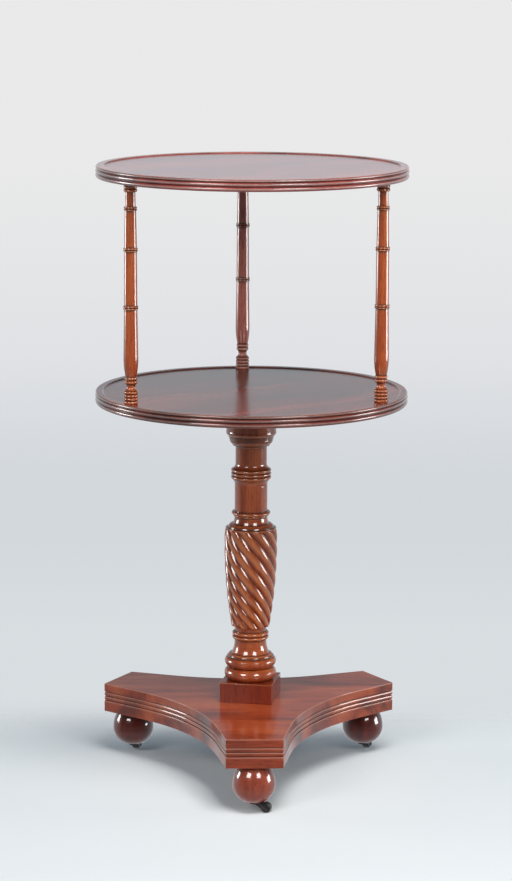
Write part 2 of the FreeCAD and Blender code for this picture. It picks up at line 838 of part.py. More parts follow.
def pillar_steps():
    steps = [line("pillar_tenon_radius"), line("pillar_tenon_radius", "pillar_tenon_length")]
    foot_beads = int(number("pillar_foot_beads"))
    steps += beads(foot_beads, "pillar_foot_root", "pillar_foot_bead", "pillar_foot_swell")
    steps += [line("pillar_cove_radius")]
    steps += [cove("pillar_waist_radius", "pillar_cove_height", "pillar_cove_depth")]
    steps += [cove("pillar_flare_radius", "pillar_flare_height", "pillar_flare_depth")]
    steps += beads(2, "pillar_pair_root", "pillar_pair_bead", "pillar_pair_swell")
    steps += [line("vase_foot_radius"), bead("vase_belly_radius", "vase_height", "vase_swell")]
    steps += [line("low_ring_radius", "low_shaft_height")] + ring_steps("low_ring_radius")
    steps += [line("middle_ring_radius", "middle_shaft_height")] + ring_steps("middle_ring_radius")
    steps += [line("high_ring_radius", "high_shaft_height")] + ring_steps("high_ring_radius")
    steps += [line("pillar_neck_foot"), line("pillar_neck_radius", "pillar_neck_height")]
    steps += beads(2, "pillar_cap_root", "pillar_cap_bead", "pillar_cap_swell")
    steps += [line("pillar_cap_radius"), line("pillar_cap_radius", "pillar_cap_height")]
    steps += [line("pillar_tenon_radius"), line("pillar_tenon_radius", "pillar_tenon_length")]
    return steps + [line("0")]


def make_pillar(side):
    body = new_body("pillar_" + side)
    turned(body, pillar_steps())
    x, y = round_the_axis(PILLAR_CIRCLE, PILLAR_TURNS[side])
    place(body, x, y, "%s - pillar_tenon_length" % PILLAR_LEVEL)


# Feet and casters

def make_foot(side):
    body = new_body("foot_" + side)
    steps = [line("foot_bottom_radius"), rising("foot_radius", "foot_low_height")]
    steps += [leaning("foot_seat_radius", "foot_high_height")]
    steps += [line("foot_tenon_radius"), line("foot_tenon_radius", "foot_tenon_length"), line("0")]
    turned(body, steps)
    drill(body, "StemHole", "stem_radius + joint_clearance", "stem_length + hole_relief", "0", upward=True)
    length = "plate_screw_length - plate_thickness + hole_relief"
    holes = drill(body, "ScrewHole", "plate_screw_radius + joint_clearance", length, "0",
                  "plate_screw_circle", upward=True)
    pattern(body, holes, "plate_screw_count")
    x, y = round_the_axis(FOOT_CIRCLE, FOOT_TURNS[side])
    place(body, x, y, FOOT_LEVEL, FOOT_TURNS[side])


def on_foot(body, side, height):
    x, y = round_the_axis(FOOT_CIRCLE, FOOT_TURNS[side])
    place(body, x, y, height, FOOT_TURNS[side])


def on_caster(body, side, along="0", across="0"):
    """Places a caster piece along and across its trail, on the floor."""
    swivel = side + "_swivel"
    x, y = round_the_axis(FOOT_CIRCLE, FOOT_TURNS[side])
    x = "%s + (%s) * cos(%s) - (%s) * sin(%s)" % (x, along, swivel, across, swivel)
    y = "%s + (%s) * sin(%s) + (%s) * cos(%s)" % (y, along, swivel, across, swivel)
    place(body, x, y, "0" if along == "0" else "wheel_radius", swivel)


def make_plate(side):
    body = new_body("caster_plate_" + side)
    turned(body, [line("plate_radius"), line("plate_radius", "plate_thickness"), line("0")])
    drill(body, "StemHole", "stem_radius + joint_clearance", "plate_thickness", "plate_thickness")
    holes = drill(body, "ScrewHole", "plate_screw_radius + joint_clearance", "plate_thickness",
                  "plate_thickness", "plate_screw_circle")
    pattern(body, holes, "plate_screw_count")
    recess = drill(body, "HeadRecess", "plate_head_radius + joint_clearance", "plate_head_height",
                   "0", "plate_screw_circle", upward=True)
    pattern(body, recess, "plate_screw_count")
    on_foot(body, side, "caster_height")


def make_stem(side):
    """The pin that the fork turns on, riveted over below the fork's crown."""
    body = new_body("caster_stem_" + side)
    drop = "swivel_gap + crown_thickness + running_clearance"
    steps = [line("stem_head_radius"), line("stem_head_radius", "stem_head_height")]
    steps += [line("stem_radius"), line("stem_radius", total(drop, "plate_thickness", "stem_length"))]
    turned(body, steps + [line("0")])
    on_foot(body, side, "caster_height - stem_head_height - (%s)" % drop)


CROWN_TOP = "caster_height - swivel_gap"
CROWN_BOTTOM = "caster_height - swivel_gap - crown_thickness"
FORK_WIDTH = "wheel_width + 2 * wheel_side_gap + 2 * cheek_thickness"


def strap_outline(body):
    """Side view of the fork: a crown that narrows to a boss round the axle."""
    sketch = new_sketch(body, "Strap", "XZ_Plane")
    centre = Vector(number("trail"), number("wheel_radius"), 0)
    boss = number("cheek_boss_radius")
    places = [("0", CROWN_BOTTOM), ("0", CROWN_TOP), ("crown_reach", CROWN_TOP)]
    low = ("strap_start", CROWN_BOTTOM)
    points = [Vector(number(x), number(y), 0) for x, y in places]
    low_point = Vector(number(low[0]), number(low[1]), 0)
    high_touch = tangent_point(points[2], centre, boss, False)
    low_touch = tangent_point(low_point, centre, boss, True)
    far = centre + Vector(boss, 0, 0)
    sketch.addGeometry(Part.LineSegment(points[0], points[1]))
    sketch.addGeometry(Part.LineSegment(points[1], points[2]))
    sketch.addGeometry(Part.LineSegment(points[2], high_touch))
    sketch.addGeometry(Part.Arc(high_touch, far, low_touch))
    sketch.addGeometry(Part.LineSegment(low_touch, low_point))
    sketch.addGeometry(Part.LineSegment(low_point, points[0]))
    relate(sketch, "Coincident", 0, 2, 1, 1)
    relate(sketch, "Coincident", 1, 2, 2, 1)
    relate(sketch, "Tangent", 2, 2, 3, 2)
    relate(sketch, "Tangent", 3, 1, 4, 1)
    relate(sketch, "Coincident", 4, 2, 5, 1)
    relate(sketch, "Coincident", 5, 2, 0, 1)
    for index, (x, y) in enumerate(places):
        pin(sketch, (index, 1), x, y)
    pin(sketch, (5, 1), low[0], low[1])
    pin(sketch, (3, 3), "trail", "wheel_radius")
    fix(sketch, "Radius", (3,), "cheek_boss_radius")
    return sketch


def make_fork(side):
    body = new_body("caster_fork_" + side)
    disc = new_sketch(body, "Crown", offset=CROWN_BOTTOM)
    add_circle(disc, "0", "0", "(%s) / 2" % FORK_WIDTH)
    crown = body.newObject("PartDesign::Pad", body.Name + "CrownPad")
    crown.Profile = disc
    bind(crown, "Length", "crown_thickness")
    strap = body.newObject("PartDesign::Pad", body.Name + "StrapPad")
    strap.Profile = strap_outline(body)
    strap.Midplane = True
    bind(strap, "Length", FORK_WIDTH)
    doc.recompute()
    slot = new_sketch(body, "WheelSlot", "XZ_Plane")
    far = "trail + 2 * cheek_boss_radius"
    high = "caster_height"
    polygon(slot, [("crown_reach", "0"), (far, "0"), (far, high), ("crown_reach", high)])
    cut(body, slot, "Slot", "wheel_width + 2 * wheel_side_gap", both_ways=True)
    drill(body, "StemHole", "stem_radius + running_clearance", "2 * crown_thickness", CROWN_TOP)
    hole = new_sketch(body, "AxleCircle", "XZ_Plane")
    add_circle(hole, "trail", "wheel_radius", "axle_radius + joint_clearance")
    cut(body, hole, "AxleHole", FORK_WIDTH, both_ways=True)
    on_caster(body, side)


def make_wheel(side):
    body = new_body("caster_wheel_" + side)
    rim = "wheel_radius - wheel_crown - wheel_edge"
    tread = "wheel_radius - wheel_crown"
    steps = [line(rim), line(tread, "wheel_edge")]
    steps += [bead(tread, "wheel_width - 2 * wheel_edge", "wheel_crown"), line(rim, "wheel_edge")]
    turned(body, steps + [line("0")], "XY_Plane")
    bore = new_sketch(body, "Bore", "XZ_Plane")
    add_circle(bore, "0", "0", "axle_radius + running_clearance")
    cut(body, bore, "AxleHole", "2 * wheel_width", both_ways=True)
    on_caster(body, side, "trail", "-wheel_width / 2")


def make_axle(side):
    body = new_body("caster_axle_" + side)
    head = [line("axle_head_radius"), line("axle_head_radius", "axle_head_height")]
    steps = head + [line("axle_radius"), line("axle_radius", FORK_WIDTH)] + head + [line("0")]
    turned(body, steps, "XY_Plane")
    on_caster(body, side, "trail", "-(%s) / 2 - axle_head_height" % FORK_WIDTH)


def make_parts():
    upper_level = total(PILLAR_LEVEL, "-2 * pillar_tenon_length", height_of(pillar_steps()))
    make_tier("upper_tier", "upper_tier_radius", upper_level, "below")
    make_tier("lower_tier", "lower_tier_radius", LOWER_TIER_LEVEL, "above")
    for side in PILLAR_TURNS:
        make_pillar(side)
    make_bearer()
    steps = screw_steps("bearer_screw_radius", "bearer_head_radius", "bearer_head_height",
                        "bearer_screw_length", "screw_point_height")
    screws = screw_group("bearer_screws", steps, "bearer_screw_circle", BEARER_SCREW_TURN,
                         "bearer_screw_count")
    place(screws, height=BEARER_LEVEL)
    make_column()
    make_wedge()
    make_base()
    steps = screw_steps("plate_screw_radius", "plate_head_radius", "plate_head_height",
                        "plate_screw_length", "plate_screw_point")
    for side in FOOT_TURNS:
        make_foot(side)
        make_plate(side)
        screws = screw_group("caster_screws_" + side, steps, "plate_screw_circle", "0", "plate_screw_count")
        on_foot(screws, side, "caster_height")
        make_stem(side)
        make_fork(side)
        make_wheel(side)
        make_axle(side)


def check_document():
    for item in doc.Objects:
        if "Invalid" in item.State or "Error" in item.State:
            raise RuntimeError("%s failed: %s" % (item.Label, item.State))
    for node in NODES:
        if node.Shape.isNull() or not node.Shape.isValid() or not node.Shape.Solids:
            raise RuntimeError("%s has no valid shape" % node.Label)


make_parts()
doc.recompute()
check_document()
os.makedirs("parts", exist_ok=True)
for node in NODES:
    node.Shape.exportStep("parts/%s.step" % node.Label)
    box = node.Shape.BoundBox
    print("%-24s solids %d volume %.0f z %.2f to %.2f" % (
        node.Label, len(node.Shape.Solids), node.Shape.Volume, box.ZMin, box.ZMax))
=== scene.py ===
import json
import math

import bpy
from mathutils import Matrix, Vector

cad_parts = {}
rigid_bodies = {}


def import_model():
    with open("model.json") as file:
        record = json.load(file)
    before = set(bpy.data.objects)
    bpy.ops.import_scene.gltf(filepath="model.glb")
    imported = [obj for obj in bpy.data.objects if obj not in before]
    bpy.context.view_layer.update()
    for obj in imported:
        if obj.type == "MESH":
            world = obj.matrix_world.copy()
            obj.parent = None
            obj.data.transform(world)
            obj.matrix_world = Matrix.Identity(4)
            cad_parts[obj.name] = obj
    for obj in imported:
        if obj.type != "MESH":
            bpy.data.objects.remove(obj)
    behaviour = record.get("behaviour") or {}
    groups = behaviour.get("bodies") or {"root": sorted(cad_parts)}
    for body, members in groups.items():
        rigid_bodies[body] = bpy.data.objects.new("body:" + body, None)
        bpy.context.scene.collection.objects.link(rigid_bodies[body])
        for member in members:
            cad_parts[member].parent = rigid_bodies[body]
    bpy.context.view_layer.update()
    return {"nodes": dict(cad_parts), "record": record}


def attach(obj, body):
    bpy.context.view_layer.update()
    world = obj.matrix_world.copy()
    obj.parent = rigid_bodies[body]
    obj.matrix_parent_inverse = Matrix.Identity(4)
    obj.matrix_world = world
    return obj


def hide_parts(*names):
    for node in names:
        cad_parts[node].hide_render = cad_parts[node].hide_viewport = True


# Looks of a two-tier serving stand in French-polished mahogany. The turned and moulded pieces
# are built here as smooth meshes from the same sizes as the solids that they stand for, with
# softened edges, and carry two shades: painted shade, by how deep a point lies in a corner, and
# wear with a painted highlight, by how near it is to an edge or a bead's crest. Sizes are in
# millimetres and turns in degrees unless a line says otherwise.

for leftover in list(bpy.data.objects):
    bpy.data.objects.remove(leftover)
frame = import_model()

MM = 0.001
FULL_TURN = 2 * math.pi

# Heights of the pieces above the floor
FOOT_LEVEL = 18.7
BASE_LEVEL = 78.8
PLINTH_LEVEL = 126.0
BARREL_LEVEL = 248.4
LOWER_TIER_LEVEL = 623.5
DISH_LEVEL = 640.5
UPPER_TIER_LEVEL = 989.5

# Tiers
LOWER_TIER_RADIUS = 254.0
UPPER_TIER_RADIUS = 252.0
TIER_LIP = 2.0
TIER_RIM_WIDTH = 11.5
TIER_RIM_COVE = 2.6
TIER_COVE_DEPTH = 0.5
TIER_REED_SWELL = 1.9
TIER_TOP_SWELL = 1.6
TIER_REEDS = (7.4, 6.8, 4.8)
TIER_SEGMENTS = 288

# Pillars
PILLAR_CIRCLE = 230.0
PILLAR_TURNS = {"left": -147.8, "right": -27.8, "back": 92.2}
RING_STAND = 0.4
RING_RISE = 3.4
RING_SWELL = 1.1
PILLAR_SEGMENTS = 72

# Column
PLINTH_WIDTH = 87.0
PLINTH_HEIGHT = 33.0
PLINTH_TURN = -12.0
BARREL_HEIGHT = 164.1
BARREL_BELLY_HEIGHT = 139.1
BARREL_FOOT_RADIUS = 31.4
BARREL_BELLY_RADIUS = 43.5
BARREL_HEAD_RADIUS = 42.9
BARREL_GROOVE_DEPTH = 3.6
BARREL_REEDS = 12
BARREL_HELIX_ANGLE = 41.0
BARREL_TURN = 8.0
REED_POINTS = 16
REED_STATIONS = 180
REED_END_ROUND = 1.2

# Base platform
LEGS = 3
LEG_STEP = 120
FIRST_LEG = -90
FIRST_SIDE = -30
BASE_THICKNESS = 47.2
LEG_END_WIDTH = 91.2
LEG_REACH = 255.0
BASE_WAIST = 119.0
SIDE_ARC_RADIUS = 370.0
SIDE_ARC_PARTS = 40
BASE_LOW_BAND = 17.3
BASE_HIGH_BAND = 12.3
BASE_REEDS = 2
BASE_GROOVE_DEPTH = 2.2
BASE_GROOVE_RISE = 1.5

# Parts of a base reed's outline, and the point on its upper shoulder that gets wear and a painted
# highlight
REED_PARTS = 14
HIGHLIT_SHOULDER_POINT = 10

# How far inside their edge the flat faces of base and plinth are closed by one polygon
FACE_INSET = 6.0

# Feet
FOOT_CIRCLE = 225.0
FOOT_TURNS = {"front": -90.0, "left": -210.0, "right": 30.0}
FOOT_LOW_RADIUS = 19.0
FOOT_BALL_RADIUS = 34.2
FOOT_LOW_RISE = 26.3
FOOT_HIGH_RADIUS = 21.5
FOOT_HIGH_RISE = 33.8
FOOT_SEGMENTS = 96

# Edges as they are after hand polishing and wear, how far painted shade spreads from a corner,
# and how far wear with a painted highlight spreads from an edge or a bead's crest
ARRIS = 0.45
ARRIS_SHARE = 0.4
CORNER_ROUND = 1.4
CORNER_POINTS = 5
PAINTED_SHADE_REACH = 1.5
WEAR_AND_HIGHLIGHT_REACH = 1.1
CREST_SWELL = 1.0
CREST_RISE = 10.0
CREST_SHARE = 0.5
CORNER_ANGLE = math.radians(22)
SHARP_ANGLE = math.radians(40)
SUPPORTS = (0.3, 0.9, 2.0, 4.0)

# Painted shade, where 1 is as dark as a corner: in the barrel's valleys, on the base's sides and,
# with their depth, in its grooves; and a painted shadow on the capital above the given level
PAINTED_VALLEY_SHADE_SHARE = 0.65
PAINTED_SIDE_SHADE_SHARE = 0.32
PAINTED_GROOVE_SHADE_SHARE = 1.4
PAINTED_CAPITAL_SHADOW_SHARE = 0.3
PAINTED_SHADOW_LEVEL = 548.0


# Outlines that are turned round an upright axis, as steps of kind, end radius, rise and swell

def line(radius, rise=0.0):
    return [("line", radius, rise, 0.0)]


def bead(radius, rise, swell):
    return [("arc", radius, rise, swell)]


def cove(radius, rise, depth):
    return [("arc", radius, rise, -depth)]


def beads(count, root, rise, swell):
    """A step to the beads' root, and the beads one above the other."""
    return line(root) + bead(root, rise, swell) * count


def upright(radius, rise):
    """A step to a radius, and an upright stretch."""
    return line(radius) + line(radius, rise)


def ringed_shaft(radius, rise):
    """A tapering stretch of shaft with a pair of thin rings above it."""
    rings = beads(2, radius + RING_STAND, RING_RISE, RING_SWELL)
    return line(radius, rise) + rings + line(radius)


PILLAR = {
    "foot beads": beads(4, 9.9, 5.3, 1.5),
    "foot cap": line(10.3),
    "foot cove": cove(7.0, 6.8, 1.1),
    "flare": cove(8.6, 4.0, 0.4),
    "collar": beads(2, 8.7, 5.9, 1.5),
    "bulb root": line(8.9),
    "bulb": bead(11.8, 31.0, 0.9),
    "low shaft": ringed_shaft(10.6, 75.5),
    "middle shaft": ringed_shaft(10.1, 85.0),
    "high shaft": ringed_shaft(9.0, 57.9),
    "neck root": line(8.2),
    "neck": line(7.9, 22.8),
    "head beads": beads(2, 9.3, 5.4, 1.6),
    "head disc": upright(10.2, 1.8),
    "top": line(0.0),
}
COLUMN_FOOT = {
    "seat": line(33.5),
    "low torus": bead(33.5, 22.0, 9.4),
    "high torus": bead(38.2, 16.5, 6.6),
    "torus fillet": line(38.2, 1.8),
    "vase seat": line(37.0),
    "vase bead": bead(32.6, 3.4, 1.2),
    "vase root": line(31.6),
    "vase": cove(26.4, 18.5, 1.2),
    "vase neck": line(26.4, 5.9),
    "rings": beads(2, 27.8, 6.4, 2.4),
    "barrel seat": upright(25.8, 8.5),
}
COLUMN_HEAD = {
    "barrel rim": line(41.2) + bead(41.2, 2.0, 0.5),
    "rim fillet": upright(38.4, 1.8),
    "shoulder root": line(37.6),
    "shoulder": bead(30.0, 5.2, 1.8),
    "shoulder neck": line(29.6) + cove(27.0, 11.8, 0.7),
    "thin ring": beads(1, 27.6, 3.2, 1.4),
    "thick ring": beads(1, 29.5, 5.4, 2.5),
    "drum": upright(26.9, 42.6),
    "drum flare": cove(30.3, 10.0, 1.2),
    "flare fillet": line(30.3, 1.0),
    "rings": beads(3, 30.9, 5.9, 2.1),
    "neck foot": line(30.3) + cove(25.8, 9.2, 1.4),
    "neck": line(25.8, 25.6),
    "neck flare": cove(28.0, 3.6, 0.6),
    "capital foot": upright(30.6, 1.4),
    "capital bowl": bead(35.6, 9.3, 1.6),
    "bowl fillet": upright(36.4, 3.2),
    "lip fillet": upright(37.4, 2.2),
    "capital lip": bead(40.9, 8.0, 1.8),
    "block": line(40.9, 21.4),
    "block edge": line(39.4, 1.5),
    "top": line(0.0),
}


def steps_of(mouldings):
    """The steps of all the mouldings, from the lowest upwards."""
    return sum(mouldings.values(), [])


def tier_steps(radius):
    edge = radius - TIER_REED_SWELL
    low, middle, top = TIER_REEDS
    rim = radius - TIER_RIM_WIDTH
    steps = line(edge) + bead(edge, low, TIER_REED_SWELL) + bead(edge, middle, TIER_REED_SWELL)
    steps += bead(edge, top, TIER_TOP_SWELL) + line(rim)
    return steps + cove(rim - TIER_RIM_COVE, -TIER_LIP, TIER_COVE_DEPTH) + line(0.0)


def foot_steps():
    """A ball of two arcs: the lower one ends upright, where the upper one starts."""
    low = ("rising", FOOT_BALL_RADIUS, FOOT_LOW_RISE, 0.0)
    high = ("leaning", FOOT_HIGH_RADIUS, FOOT_HIGH_RISE, 0.0)
    return line(FOOT_LOW_RADIUS) + [low, high] + line(0.0)


def bulged_arc(start, end, swell, parts=12):
    """Points of an arc from start to end that stands out by its swell, without the start."""
    start = Vector(start)
    end = Vector(end)
    chord = end - start
    radius = (chord.length ** 2 / 4 + swell ** 2) / (2 * abs(swell))
    outward = Vector((chord.y, -chord.x)).normalized() * math.copysign(1, swell)
    centre = (start + end) / 2 + outward * (abs(swell) - radius)
    first = math.atan2(start.y - centre.y, start.x - centre.x)
    sweep = 2 * math.asin(min(1.0, chord.length / (2 * radius)))
    if abs(swell) > radius:
        sweep = FULL_TURN - sweep
    sweep = math.copysign(sweep, swell)
    points = []
    for step in range(1, parts + 1):
        angle = first + sweep * step / parts
        points.append((centre.x + radius * math.cos(angle), centre.y + radius * math.sin(angle)))
    return points


def quarter_arc(start, end, level_at_end, parts=24):
    """Points of an arc that is upright where it starts or ends, without the start."""
    rise = end[1] - start[1]
    near, far = (end, start) if level_at_end else (start, end)
    centre_x = (near[0] ** 2 - far[0] ** 2 - rise ** 2) / (2 * (near[0] - far[0]))
    centre = Vector((centre_x, near[1]))
    first = math.atan2(start[1] - centre.y, start[0] - centre.x)
    last = math.atan2(end[1] - centre.y, end[0] - centre.x)
    radius = near[0] - centre.x
    angles = [first + (last - first) * step / parts for step in range(1, parts + 1)]
    return [(centre.x + radius * math.cos(a), centre.y + radius * math.sin(a)) for a in angles]


def outline(steps, level):
    """Points of radius and height from the steps of a turning, and the crests of its beads."""
    points = [(0.0, level)]
    crests = []
    for kind, radius, rise, swell in steps:
        end = (radius, points[-1][1] + rise)
        if kind == "arc":
            arc = bulged_arc(points[-1], end, swell)
            points += arc
            if CREST_SWELL <= swell and rise <= CREST_RISE:
                crests.append(Vector(arc[len(arc) // 2 - 1]))
        elif kind in ("rising", "leaning"):
            points += quarter_arc(points[-1], end, kind == "rising")
        else:
            points.append(end)
    return points, crests


def turn_between(before, point, after):
    """How far the outline turns at a point: positive where the corner stands out."""
    first = Vector(point) - Vector(before)
    second = Vector(after) - Vector(point)
    return math.atan2(first.x * second.y - first.y * second.x, first.dot(second))


def rounded_corner(before, corner, after, reach):
    """Points of a curve that cuts off a corner, from the reach before it to the reach after."""
    here = Vector(corner)
    start = here + (Vector(before) - here).normalized() * reach
    end = here + (Vector(after) - here).normalized() * reach
    points = []
    for step in range(CORNER_POINTS):
        share = step / (CORNER_POINTS - 1)
        spot = start * (1 - share) ** 2 + here * 2 * share * (1 - share) + end * share ** 2
        points.append(tuple(spot))
    return points


def softened(points):
    """Rounds outward corners, and lists the corners that lie in and those that stand out."""
    result = [points[0]]
    hollows = []
    edges = []
    for before, point, after in zip(points, points[1:], points[2:]):
        here = Vector(point)
        turn = turn_between(before, point, after)
        if turn < -CORNER_ANGLE:
            hollows.append(here)
        if turn <= CORNER_ANGLE:
            result.append(point)
            continue
        edges.append(here)
        shorter = min((Vector(before) - here).length, (Vector(after) - here).length)
        result += rounded_corner(before, point, after, min(ARRIS, ARRIS_SHARE * shorter))
    result.append(points[-1])
    return result, hollows, edges


def supported(points):
    """Adds points near both ends of each straight stretch, so that flat stays flat."""
    result = [points[0]]
    for start, end in zip(points, points[1:]):
        start = Vector(start)
        end = Vector(end)
        length = (end - start).length
        offsets = [gap for gap in SUPPORTS if gap < length / 2]
        offsets += [length - gap for gap in reversed(SUPPORTS) if gap < length / 2]
        result += [tuple(start.lerp(end, gap / length)) for gap in offsets]
        result.append(tuple(end))
    return result


def nearness(point, corners, reach):
    """1 on a corner, falling off over the reach."""
    if not corners:
        return 0.0
    gap = min((Vector(point) - corner).length for corner in corners)
    return math.exp(-(gap / reach) ** 2)


def profile_rows(steps, level):
    """Rows of radius, height, painted shade, and wear with painted highlight, for a turning."""
    drawn, crests = outline(steps, level)
    points, hollows, edges = softened(drawn)
    rows = []
    for point in supported(points):
        painted_shade = nearness(point, hollows, PAINTED_SHADE_REACH)
        wear_and_highlight = nearness(point, edges + crests, WEAR_AND_HIGHLIGHT_REACH)
        rows.append((point[0], point[1], painted_shade, wear_and_highlight))
    return rows


def painted_shadow_above(rows, level, least_painted_shade):
    """Rows of a turned outline, with a painted shadow above a level."""
    result = []
    for radius, height, painted_shade, wear_and_highlight in rows:
        if height > level:
            painted_shade = max(painted_shade, least_painted_shade)
        result.append((radius, height, painted_shade, wear_and_highlight))
    return result


# Meshes

def round_ring(row, segments, turn=0.0):
    radius, height, painted_shade, wear_and_highlight = row
    ring = []
    for step in range(segments):
        angle = turn + FULL_TURN * step / segments
        ring.append((radius * math.cos(angle), radius * math.sin(angle), height, painted_shade, wear_and_highlight))
    return ring


def skin(name, rings, material, place=(0.0, 0.0), body="root"):
    """One closed mesh over rings of points, from the lowest to the highest."""
    points = []
    faces = []
    starts = []
    for ring in rings:
        pole = ring[0][0] == 0 and ring[0][1] == 0
        starts.append((len(points), pole))
        points += ring[:1] if pole else ring
    count = len(rings[0])
    for (low, low_pole), (high, high_pole) in zip(starts, starts[1:]):
        for step in range(count):
            after = (step + 1) % count
            if low_pole:
                faces.append((low, high + after, high + step))
            elif high_pole:
                faces.append((low + step, low + after, high))
            else:
                faces.append((low + step, low + after, high + after, high + step))
    if not starts[0][1]:
        faces.append(tuple(reversed(range(count))))
    if not starts[-1][1]:
        faces.append(tuple(range(starts[-1][0], starts[-1][0] + count)))
    mesh = bpy.data.meshes.new(name)
    spots = [((x + place[0]) * MM, (y + place[1]) * MM, z * MM) for x, y, z, _, _ in points]
    mesh.from_pydata(spots, [], faces)
    for index, label in ((3, "painted_shade"), (4, "wear_and_highlight")):
        shade = mesh.attributes.new(label, "FLOAT", "POINT")
        shade.data.foreach_set("value", [point[index] for point in points])
    mesh.shade_smooth()
    mesh.set_sharp_from_angle(angle=SHARP_ANGLE)
    mesh.materials.append(material)
    piece = bpy.data.objects.new(name, mesh)
    bpy.context.scene.collection.objects.link(piece)
    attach(piece, body)
    return piece


def lathe(name, steps, level, segments, material, place=(0.0, 0.0)):
    rings = [round_ring(row, segments) for row in profile_rows(steps, level)]
    return skin(name, rings, material, place)


def on_circle(radius, degrees):
    angle = math.radians(degrees)
    return radius * math.cos(angle), radius * math.sin(angle)


# The column and its reeded barrel

def barrel_crest(height):
    """The reeds' outer radius at a height above the barrel's foot."""
    if height < BARREL_BELLY_HEIGHT:
        end_radius = BARREL_FOOT_RADIUS
        share = (BARREL_BELLY_HEIGHT - height) / BARREL_BELLY_HEIGHT
    else:
        end_radius = BARREL_HEAD_RADIUS
        share = (height - BARREL_BELLY_HEIGHT) / (BARREL_HEIGHT - BARREL_BELLY_HEIGHT)
    return BARREL_BELLY_RADIUS - (BARREL_BELLY_RADIUS - end_radius) * share ** 2


def barrel_ring(height, turn):
    """One level of the reeded barrel, reed by reed."""
    crest = barrel_crest(height)
    valley = crest - BARREL_GROOVE_DEPTH * crest / BARREL_BELLY_RADIUS
    half = math.pi / BARREL_REEDS
    centre = (crest ** 2 - valley ** 2) / (2 * (crest - valley * math.cos(half)))
    round_radius = crest - centre
    spread = math.atan2(valley * math.sin(half), valley * math.cos(half) - centre)
    end_gap = min(height, BARREL_HEIGHT - height, REED_END_ROUND) / REED_END_ROUND
    drawn_in = REED_END_ROUND * (1 - math.sqrt(1 - (1 - end_gap) ** 2))
    ring = []
    for reed in range(BARREL_REEDS):
        for step in range(REED_POINTS):
            across = 2 * step / REED_POINTS - 1
            out = centre + round_radius * math.cos(spread * across) - drawn_in
            side = round_radius * math.sin(spread * across)
            middle = turn + 2 * half * reed
            x = out * math.cos(middle) - side * math.sin(middle)
            y = out * math.sin(middle) + side * math.cos(middle)
            # Painted shade deepens towards the valleys between the reeds; wear with a painted
            # highlight runs along each crest
            shade = PAINTED_VALLEY_SHADE_SHARE * abs(across) ** 3
            wear_and_highlight = max(0.0, 1 - (across / CREST_SHARE) ** 2)
            ring.append((x, y, BARREL_LEVEL + height, shade, wear_and_highlight))
    return ring


def barrel_rings():
    """The levels of the barrel, with the left-handed spiral at one angle to the axis."""
    slope = math.tan(math.radians(BARREL_HELIX_ANGLE))
    turn = math.radians(BARREL_TURN)
    rings = []
    last = 0.0
    for station in range(REED_STATIONS + 1):
        share = station / REED_STATIONS
        height = BARREL_HEIGHT * (share - math.sin(FULL_TURN * share) / FULL_TURN)
        turn -= slope * (height - last) / ((barrel_crest(last) + barrel_crest(height)) / 2)
        last = height
        rings.append(barrel_ring(height, turn))
    return rings, turn


def make_column(material):
    segments = BARREL_REEDS * REED_POINTS
    lean = -math.pi / BARREL_REEDS
    barrel, last_turn = barrel_rings()
    foot = profile_rows(steps_of(COLUMN_FOOT), PLINTH_LEVEL + PLINTH_HEIGHT)
    head = profile_rows(steps_of(COLUMN_HEAD), BARREL_LEVEL + BARREL_HEIGHT)[1:]
    # A painted shadow on the capital, under the lower tier
    head = painted_shadow_above(head, PAINTED_SHADOW_LEVEL, PAINTED_CAPITAL_SHADOW_SHARE)
    rings = [round_ring(row, segments, math.radians(BARREL_TURN) + lean) for row in foot]
    rings += barrel
    rings += [round_ring(row, segments, last_turn + lean) for row in head]
    column = skin("column_turning", rings, material)
    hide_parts("column")


# Pieces cut to an outline in plan

def square_outline(inset):
    half = PLINTH_WIDTH / 2 - inset
    turn = math.radians(PLINTH_TURN)
    corners = []
    for x, y in ((-half, -half), (half, -half), (half, half), (-half, half)):
        across = x * math.cos(turn) - y * math.sin(turn)
        along = x * math.sin(turn) + y * math.cos(turn)
        corners.append((across, along))
    points = []
    for index, corner in enumerate(corners):
        after = corners[(index + 1) % len(corners)]
        points += rounded_corner(corners[index - 1], corner, after, CORNER_ROUND)
    return points


def leg_end(leg, inset):
    """The two corners at the end of a leg."""
    along = Vector(on_circle(1.0, FIRST_LEG + LEG_STEP * leg))
    across = Vector((-along.y, along.x))
    half = LEG_END_WIDTH / 2 - inset
    reach = LEG_REACH - inset
    return along * reach - across * half, along * reach + across * half


def side_centre(leg):
    """The centre of the circle that cuts the hollow side after a leg."""
    direction = Vector(on_circle(1.0, FIRST_SIDE + LEG_STEP * leg))
    return direction * (BASE_WAIST + SIDE_ARC_RADIUS)


def touch_angle(point, centre, radius, side):
    """The angle at which a line from the point touches a circle."""
    away = Vector(point) - centre
    return math.atan2(away.y, away.x) + side * math.acos(radius / away.length)


def on_arc(centre, radius, angle):
    return centre + Vector((math.cos(angle), math.sin(angle))) * radius


def base_outline(inset):
    """The three-legged outline with hollow sides, drawn in by the inset."""
    radius = SIDE_ARC_RADIUS + inset
    points = []
    for leg in range(LEGS):
        first, second = leg_end(leg, inset)
        next_leg = leg_end((leg + 1) % LEGS, inset)[0]
        centre = side_centre(leg)
        start = touch_angle(second, centre, radius, -1)
        end = touch_angle(next_leg, centre, radius, 1)
        if start < end:
            start += FULL_TURN
        sweep = end - start
        angles = [start + sweep * step / SIDE_ARC_PARTS for step in range(SIDE_ARC_PARTS + 1)]
        arc = [on_arc(centre, radius, angle) for angle in angles]
        side_before = side_centre(leg - 1)
        before = on_arc(side_before, radius, touch_angle(first, side_before, radius, 1))
        points += rounded_corner(before, first, second, CORNER_ROUND)
        points += rounded_corner(first, second, arc[0], CORNER_ROUND)
        points += [tuple(spot) for spot in arc]
    return points


